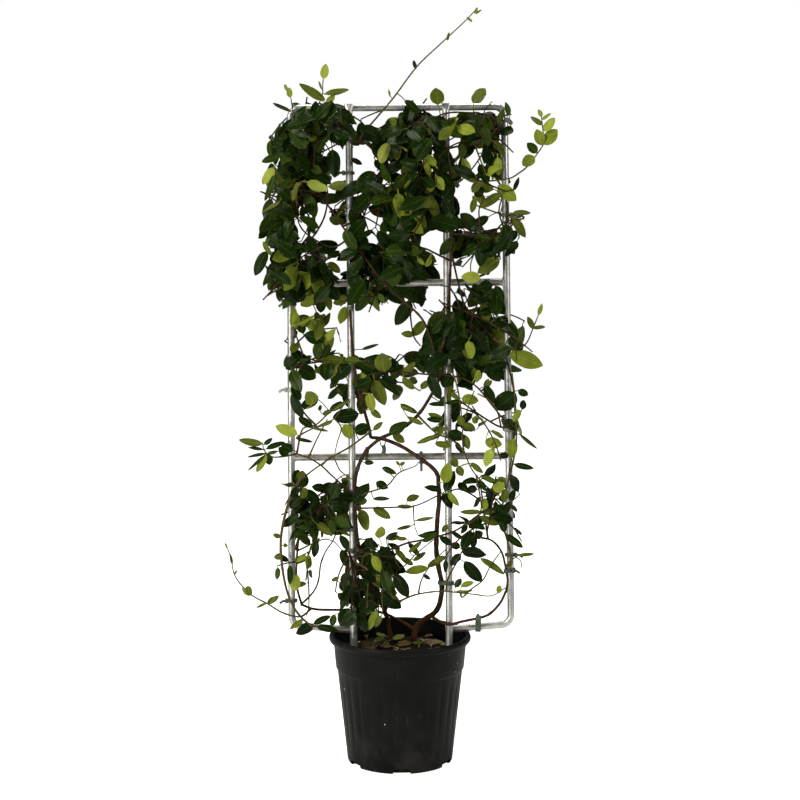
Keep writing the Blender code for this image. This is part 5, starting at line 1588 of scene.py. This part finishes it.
def nearest_knot(root):
    """The stem point that a leaf hangs from: the nearest whose spur passes the rack's tubes."""
    found = nearby.find_n(root, 24)
    for point, _, distance in found:
        if distance < LONGEST_SPUR and not thin_tree([point, root], SPUR_RADIUS).overlap(RACK_TREE):
            return point
    return found[0][0]


def place_leaf(row, rng):
    for depth in DEPTHS:
        root, tip = leaf_ends(row, depth, rng)
        if not in_box(tip):
            continue
        leaf = laid_leaf(nearest_knot(root), root, tip, row[-1], -1 if depth < 0 else 1, (0.15, 0.25), rng)
        if try_place(leaf, BARRIERS):
            return leaf
    return None


heap, placed = Heap(), []
rng = random.Random(900)
for age, rows in PLACED_LEAVES.items():
    for leaf in filter(None, [place_leaf(row, rng) for row in rows]):
        add_leaf(heap, leaf, age)
        placed.append(leaf)
build("placed_leaves", heap, sharp=55, place=LEAN)
print("placed leaves:", len(placed), "of", sum(len(rows) for rows in PLACED_LEAVES.values()))

# %% What stays in sight
SHOWN = ("bough_centre", "trail_right_high", "runner_left_high", "bough_diagonal", "stem_left_low")
SHOWN_WIDTH = 4.5  # mm to each side of a bough's middle, or of a placed leaf's

shown_points = [point for name in SHOWN for point in limbs[name].path[::2]]
shown_points += [leaf.root + leaf.along * leaf.length * share for leaf in placed for share in (0.2, 0.5, 0.8)]
shown = search_tree([(*seen_at(point), 0) for point in shown_points])


def hides_shown(leaf):
    for share, aside in itertools.product((0.15, 0.5, 0.85), (-0.3, 0.0, 0.3)):
        spot = leaf.root + leaf.along * leaf.length * share + leaf.side * leaf.width * aside
        _, number, distance = shown.find((*seen_at(spot), 0))
        if distance < SHOWN_WIDTH and spot.y < shown_points[number].y:
            return True
    return False


# %% Leaves of the masses


def grow_leaf(knot, way, side_sign, front, space, size, rng):
    """A leaf at a knot, if one of several draws finds room for it."""
    for attempt in range(LEAF_TRIES):
        own = size * (1.25 - 0.50 * attempt / LEAF_TRIES) * rng.uniform(0.72, 1.14)
        facing = Vector((rng.gauss(0, 0.5), rng.gauss(front, 0.45), rng.gauss(0.5, 0.4)))
        side = way.cross(facing.normalized()).normalized() * side_sign
        droop = Vector((0, 0, rng.gauss(-0.35, 0.35)))
        along = (way * rng.uniform(0.1, 0.9) + side + droop).normalized()
        width = LEAF_WIDTH * own * rng.uniform(0.82, 1.16)
        leaf = Leaf(knot, knot + along * PETIOLE * own, along, facing, LEAF_LENGTH * own, width, rng)
        outline, share = leaf.proxy()[0], rng.uniform(*EDGE_SHARE)
        if not (space.holds(leaf.root) and all(space.holds(point, TIP_MINGLING, share) for point in outline)
                and all(clear_of_pot(point) and in_box(point) for point in outline)):
            continue
        ragged = rng.gauss(0, 4)
        seen = [seen_at(point) for point in outline[:4]]
        if any(gap_at(*spot, room=GAP_ROOM) or not in_crown(*spot, ragged) for spot in seen):
            continue
        if leaf.root.y < 0 and hides_shown(leaf):
            continue
        if try_place(leaf, BARRIERS):
            return leaf
    return None


leaf_count = 0
for number, (name, twigs) in enumerate(mass_twigs.items()):
    size = MASSES[name][-1]
    space, rng, heap, grown = Space(name), random.Random(300 + number), Heap(), 0
    for line, _, _, shades, first in twigs:
        for place in range(first, len(line)):
            knot, way = line[place], (line[place] - line[place - 1]).normalized()
            depth = (knot.y - space.middle.y) / space.half.y
            front = -1.0 if rng.random() < FRONT_SHARE - depth / 2 else 1.0
            for side_sign in (-1, 1):
                leaf = grow_leaf(knot, way, side_sign, front, space, size, rng)
                if leaf:
                    add_leaf(heap, leaf, rng.choice(shades))
                    grown += 1
    build("leaves_" + name, heap, sharp=55, place=LEAN, replaces=["foliage_" + name])
    leaf_count += grown
    print(f"{name}: {grown} leaves on {len(twigs)} twigs")
print("leaves in the masses:", leaf_count)

# %% [markdown]
# ## Soil
# Potting soil is dark, loose and full of bits: crumbs, chips of bark, white perlite, pale dead roots, and leaves
# that have dropped. The ground itself is a disc with a noisy surface, and the bits lie on it as small shapes of
# their own.

# %% Soil finishes
def soil_finish(name, first, second, roughness=0.95):
    return mottled_finish(name, (first, second, 320.0, 0.7), (900.0, 5.0, 0.0006, 0.9), Roughness=roughness,
                          Specular_IOR_Level=0.15)


SOIL_FINISHES = {
    "earth": soil_finish("soil_earth", (0.006, 0.004, 0.003), (0.026, 0.015, 0.009)),
    "chip": soil_finish("bark_chips", (0.026, 0.011, 0.006), (0.080, 0.038, 0.020)),
    "straw": soil_finish("dead_roots", (0.300, 0.230, 0.130), (0.480, 0.400, 0.250)),
    "perlite": soil_finish("perlite", (0.600, 0.590, 0.560), (0.780, 0.770, 0.740)),
    "withered": soil_finish("withered_leaf", (0.070, 0.045, 0.016), (0.150, 0.110, 0.038), 0.7),
}

# %% Ground
SOIL_TOP_FLAT, SOIL_EDGE_DROP = 0.066, 0.003
GROUND_RINGS, GROUND_SIDES = 34, 110


def soil_height(x, y):
    reach = math.hypot(x, y)
    fall = max(0.0, (reach - SOIL_TOP_FLAT) / 0.02) * SOIL_EDGE_DROP
    swell = 0.0016 * noise.noise(Vector((x, y, 0.3)) * 38) + 0.0011 * noise.noise(Vector((x, y, 1.7)) * 120)
    return SOIL_TOP - 0.0006 - fall + swell + 0.0007 * noise.noise(Vector((x, y, 4.1)) * 330)


def ground():
    """The soil's surface, its side against the pot's wall, and its foot on the pot's floor."""
    edge = wall_radius(SOIL_TOP - SOIL_EDGE_DROP) - WALL - 0.0006
    spots = [(0.0, 0.0)]
    for ring in range(1, GROUND_RINGS + 1):
        spots += circle(edge * ring / GROUND_RINGS, GROUND_SIDES)
    points = [Vector((x, y, soil_height(x, y))) for x, y in spots]
    points += [Vector((x, y, FLOOR + 0.0004)) for x, y in circle(BASE_RADIUS - WALL - 0.0004, GROUND_SIDES)]
    rings = [range(1)] + [range(first, first + GROUND_SIDES) for first in range(1, len(points), GROUND_SIDES)]
    return points, flipped(skin(rings)) + [tuple(reversed(rings[-1]))]


heap = Heap()
heap.add(*ground(), SOIL_FINISHES["earth"])
build("ground", heap, sharp=70, replaces=["soil"])

# %% Crumbs, chips and perlite
LITTER = {  # how many, smallest and largest size in mm, and how flat
    "earth": (520, 1.2, 4.6, 0.8),
    "chip": (130, 2.0, 6.0, 0.45),
    "perlite": (26, 0.9, 1.9, 0.9),
}
FOOT_ROOM = 0.006
FEET = [LEAN @ Vector((sign * LEG_ACROSS, LEG_DEPTH, -LEG_IN_SOIL / 2)) for sign in (-1, 1)]


def spot_on_soil(rng, reach=0.083):
    """A place on the soil that is clear of the legs."""
    while True:
        turn, far = rng.uniform(0, math.tau), reach * math.sqrt(rng.random())
        x, y = far * math.cos(turn), far * math.sin(turn)
        if all(math.hypot(x - foot.x, y - foot.y) > FOOT_ROOM for foot in FEET):
            return Vector((x, y, soil_height(x, y)))


rng = random.Random(41)
heap = Heap()
for kind, (count, smallest, largest, flat) in LITTER.items():
    for number in range(count):
        size = (smallest + (largest - smallest) * rng.random() ** 2.2) * MM / 2
        half = (size, size * rng.uniform(0.5, 0.95), size * flat * rng.uniform(0.5, 1.0))
        points, faces = lump(Vector(), half, rng.uniform(0, 90), rough=0.7, rings=4, sides=6)
        turn = Euler((rng.gauss(0, 0.35), rng.gauss(0, 0.35), rng.uniform(0, 6.28))).to_matrix()
        place = spot_on_soil(rng) + Vector((0, 0, half[2] * 0.45))
        heap.add([turn @ point + place for point in points], faces, SOIL_FINISHES[kind])
build("soil_crumbs", heap, sharp=35)
print("crumbs and chips on the soil:", sum(count for count, *_ in LITTER.values()))

# %% Dead roots and fallen leaves
ROOT_TANGLE = (Vector((0.050, 0.030, 0)), 0.013)  # where pale roots lie thickest, and how wide
LONG_ROOTS = [  # listed ones, across and back in mm
    [(-25, 6), (-22, 20), (-18, 37), (-15, 22), (-12, 5)], [(28, 52), (31, 40), (27, 22), (25, 6)],
    [(16, 62), (24, 50), (36, 44), (47, 48)], [(40, 12), (46, 26), (52, 34), (60, 28)],
]
FALLEN = [  # x and y in mm, turn, length in mm, rise of the tip, age
    (-10, 42, 20, 19, 0.35, "young"), (-20, 58, 165, 14, 0.3, "olive"), (-32, 22, 50, 19, 0.4, "olive"),
    (-4, 12, 12, 20, 0.35, "withered"), (-38, 12, 165, 15, 0.3, "withered"), (-46, 66, 100, 14, 0.3, "withered"),
    (-12, 2, 190, 15, 0.3, "withered"), (18, 26, -35, 15, 0.3, "olive"), (34, 56, 30, 13, 0.25, "withered"),
    (5, -32, 20, 30, 0.05, "young"), (-20, -44, -30, 26, 0.1, "olive"), (52, -36, 60, 24, 0.05, "withered"),
    (-52, -6, 15, 24, 0.1, "withered"), (44, -8, -20, 24, 0.05, "olive"),
]

heap = Heap()
for number in range(34):
    middle, spread = ROOT_TANGLE if number % 3 else (Vector((-0.01, -0.02, 0)), 0.06)
    spot = middle + Vector((rng.gauss(0, spread), rng.gauss(0, spread * 0.6), 0))
    spot *= min(1.0, 0.062 / max(spot.length, 1e-6))
    turn, length, bend = rng.uniform(0, 6.28), rng.uniform(0.012, 0.032), rng.gauss(0, 1.6)
    line = []
    for step in range(9):
        share = step / 8 - 0.5
        way = turn + bend * share
        x, y = spot.x + length * share * math.cos(way), spot.y + length * share * math.sin(way)
        line.append(Vector((x, y, soil_height(x, y) + 0.0016 + 0.0035 * rng.random() * (1 - 4 * share**2))))
    thick = rng.uniform(0.00035, 0.0007)
    heap.add(*sweep(line, tapered(line, thick, thick * 0.5), 5), SOIL_FINISHES["straw"])
for route in LONG_ROOTS:
    line = smooth_path([Vector((x * MM, y * MM, 0)) for x, y in route], 4)
    line = [Vector((point.x, point.y, soil_height(point.x, point.y) + 0.0022)) for point in line]
    heap.add(*sweep(line, tapered(line, 0.0008, 0.0005), 6), SOIL_FINISHES["straw"])
build("dead_roots", heap)

LEAF_FINISHES["withered"] = dict.fromkeys(("blade", "under", "rib"), SOIL_FINISHES["withered"])
heap = Heap()
for x, y, turn, length, rise, age in FALLEN:
    way = Vector((math.cos(math.radians(turn)), math.sin(math.radians(turn)), rise))
    root = Vector((x * MM, y * MM, soil_height(x * MM, y * MM) + 0.0036))
    facing = Vector((rng.gauss(0, 0.2), rng.gauss(-2.5 * rise, 0.2), 1))
    leaf = Leaf(root - way * PETIOLE, root, way, facing, length * MM, length * MM * 0.5, rng)
    leaf.curl = rng.uniform(0.02, 0.3)
    add_leaf(heap, leaf, age)
build("fallen_leaves", heap, sharp=55)

# %% [markdown]
# ## Ties
# Soft plastic ties hold stem to tube. Each is a loop with a rounded section round both, and a ribbed clasp whose
# short tail sticks out. Four of them are solids of the frame, and the smaller ones further up are added here.

# %% Tie finish
TIE_GRAIN, TIE_SWING = (700.0, 3.0, 0.0002, 0.6), (0.2, 0.4)
TIE_GREY = mottled_finish("grey_green_tie", ((0.055, 0.072, 0.055), (0.11, 0.13, 0.10), 90.0, 0.6), TIE_GRAIN,
                          TIE_SWING, Specular_IOR_Level=0.3)
TIE_PALE = mottled_finish("faded_tie", ((0.30, 0.31, 0.27), (0.42, 0.43, 0.38), 90.0, 0.6), TIE_GRAIN,
                          TIE_SWING, Specular_IOR_Level=0.3)

# %% Tie shapes
TIE_SLACK, TIE_THICKNESS, TIE_WIDTH = 0.0010, 0.0012, 0.005
TIE_TURNS = 56
TIE_SECTION = [  # along the tube and outwards, as shares of width and thickness
    (-0.5, 0.2), (-0.5, 0.7), (-0.4, 1.0), (-0.15, 1.0), (0.0, 0.8), (0.15, 1.0), (0.4, 1.0), (0.5, 0.7),
    (0.5, 0.2), (0.4, 0.0), (-0.4, 0.0),
]


def tie_band(tube, stem, stem_radius, axis, width):
    """A band round a tube and the stem beside it."""
    axis = axis.normalized()
    first = (stem - tube).normalized()
    second = axis.cross(first)
    rounds = [(tube, TUBE_RADIUS + TIE_SLACK), (stem, stem_radius + TIE_SLACK)]
    points, count = [], len(TIE_SECTION)
    for x, y in circle(1.0, TIE_TURNS):
        way = x * first + y * second
        centre, radius = max(rounds, key=lambda one: one[0].dot(way) + one[1])
        for shift, out in TIE_SECTION:
            points.append(centre + way * (radius + out * TIE_THICKNESS) + axis * width * shift)
    rings = [range(first, first + count) for first in range(0, len(points), count)]
    return points, skin(rings + rings[:1])


def block(middle, axes, half, bevel):
    """A box with rounded edges, on three axes."""
    mesh = bmesh.new()
    bmesh.ops.create_cube(mesh, size=2.0)
    bmesh.ops.scale(mesh, vec=half, verts=mesh.verts)
    bmesh.ops.bevel(mesh, geom=mesh.edges[:], offset=bevel, segments=2, affect="EDGES", profile=0.5)
    points = [middle + vertex.co.x * axes[0] + vertex.co.y * axes[1] + vertex.co.z * axes[2]
              for vertex in mesh.verts]
    faces = [tuple(vertex.index for vertex in face.verts) for face in mesh.faces]
    mesh.free()
    return points, faces


def strap(path, radius, wide, deep):
    """A flat strip of plastic along a path."""
    return sweep(path, [radius] * len(path), 10, flat=lambda _: (wide, deep))


def add_clasp(heap, tube, stem, axis, sign, finish):
    """A ribbed clasp on the band's side, between tube and stem, and its tail."""
    axis = axis.normalized()
    first = (stem - tube).normalized()
    second = axis.cross(first) * sign
    middle = (tube + stem) / 2 + second * (TUBE_RADIUS + TIE_SLACK + 0.0016)
    heap.add(*block(middle, (first, second, axis), (0.0028, 0.0016, 0.0032), 0.0006), finish)
    for rib in (-1, 0, 1):
        spot = middle + second * 0.0017 + first * rib * 0.0016
        heap.add(*block(spot, (first, second, axis), (0.0004, 0.0005, 0.0026), 0.0002), finish)
    tail = [middle + second * 0.001, middle + second * 0.005 + first * 0.002,
            middle + second * 0.009 + first * 0.001 - Vector((0, 0, 0.003))]
    heap.add(*strap(smooth_path(tail, 4), 0.0013, 1.3, 0.5), finish)


# %% Ties
UP, ACROSS = Vector((0, 0, 1)), Vector((1, 0, 0))
TIES = {  # the tube's middle, the limb, the tube's way, the clasp's side, the band's width
    "tie_left_leg": (Vector((-LEG_ACROSS, LEG_DEPTH, 0.107)), "stem_left_low", UP, -1, TIE_WIDTH),
    "tie_right_leg": (Vector((LEG_ACROSS, LEG_DEPTH, 0.062)), "stem_right_low", UP, -1, TIE_WIDTH),
    "tie_right_post": (Vector((post_across(0.078), 0, 0.078)), "loop_right_high", UP, 1, TIE_WIDTH),
    "tie_right_foot": (Vector((0.102, 0, 0.0018)), "loop_right_low", ACROSS, -1, 0.0072),
}
for name, (tube, limb, axis, sign, width) in TIES.items():
    stem, _, radius = limbs[limb].nearest(tube)
    stem = stem - (stem - tube).dot(axis) * axis
    heap = Heap()
    heap.add(*tie_band(tube, stem, radius, axis, width), TIE_GREY)
    add_clasp(heap, tube, stem, axis, sign, TIE_GREY)
    build(name + "_band", heap, sharp=50, place=LEAN, replaces=[name])

SMALL_TIES = [  # tube's place in mm, its way, how far the stem is in front, finish
    ((-145, 0, 39), UP, 0.0075, TIE_GREY), ((-143, 0, 320), UP, 0.0080, TIE_PALE),
    ((-142, 0, 433), UP, 0.0080, TIE_GREY), ((145, 0, 98), UP, 0.0080, TIE_GREY),
    ((143, 0, 265), UP, 0.0085, TIE_PALE), ((141, 0, 548), UP, 0.0080, TIE_GREY),
    ((-63.5, LEG_DEPTH / MM, 135), UP, 0.0085, TIE_GREY), ((-63.5, LEG_DEPTH / MM, 604), UP, 0.0080, TIE_GREY),
    ((-44, 0, 230), ACROSS, 0.0100, TIE_GREY), ((28, 0, 230), ACROSS, 0.0100, TIE_GREY),
]
heap = Heap()
for place, axis, reach, finish in SMALL_TIES:
    tube = Vector(place) * MM
    stem = tube - Vector((0, reach, 0))
    heap.add(*tie_band(tube, stem, 0.0016, axis, 0.004), finish)
    add_clasp(heap, tube, stem, axis, 1 if tube.x > 0 else -1, finish)
build("small_ties", heap, sharp=50, place=LEAN)

heap = Heap()
fork = limbs["stem_arch"].nearest(Vector((-23, -6, 254)) * MM)[0]
loop = [fork + Vector((0.0035 * x, -0.0005, 0.0055 * y - 0.004)) for x, y in circle(1.0, 20)]
loop.append(loop[0])
heap.add(*strap(loop, 0.0012, 0.6, 1.9), TIE_GREY)
tail = [fork + Vector((0.0008, -0.001, -0.009)), fork + Vector((0.002, -0.002, -0.014)),
        fork + Vector((0.0005, -0.002, -0.020))]
heap.add(*strap(smooth_path(tail, 4), 0.0018, 1.5, 0.6), TIE_GREY)
build("hanging_tie", heap, sharp=50, place=LEAN)
print("ties:", len(TIES) + len(SMALL_TIES) + 1)

# %% [markdown]
# ## Floor and surroundings
# Plants are shown before a bright white ground. A plain pale floor catches the pot's soft shadow, and the sky is
# white. Both are bright where the camera looks at them and dimmer where they light the plant, which keeps the pot
# black and the greens deep.

# %% Floor
FLOOR_RADIUS, FLOOR_SIDES = 4.0, 72
material = mottled_finish("pale_floor", ((0.86, 0.86, 0.86), (0.88, 0.88, 0.88), 3.0, 0.4), Roughness=0.8,
                          Specular_IOR_Level=0.1, Emission_Color=(1.0, 1.0, 1.0))
tree = material.node_tree
looked_at = node(tree, "LightPath").outputs["Is Camera Ray"]
fill(tree, tree.nodes["Principled BSDF"], Emission_Strength=calc(tree, "MULTIPLY_ADD", looked_at, 0.92, 0.05))
floor_mesh = bpy.data.meshes.new("floor")
rim = [(x, y, -0.0005) for x, y in circle(FLOOR_RADIUS, FLOOR_SIDES)]
floor_mesh.from_pydata(rim, [], [tuple(range(FLOOR_SIDES))])
floor_mesh.materials.append(material)
show("floor", floor_mesh)

# %% White surroundings
SKY_SEEN, SKY_LIGHT = 1.0, 0.11

sky = bpy.data.worlds.new("studio")
bpy.context.scene.world = sky
sky.use_nodes = True
tree = sky.node_tree
tree.nodes.clear()
looked_at = node(tree, "LightPath").outputs["Is Camera Ray"]
strength = node(tree, "MapRange", Value=looked_at, To_Min=SKY_LIGHT, To_Max=SKY_SEEN).outputs[0]
background = node(tree, "Background", Color=(1.0, 1.0, 1.0), Strength=strength)
node(tree, "OutputWorld", Surface=background.outputs[0])
bpy.context.scene.view_settings.view_transform = "Standard"
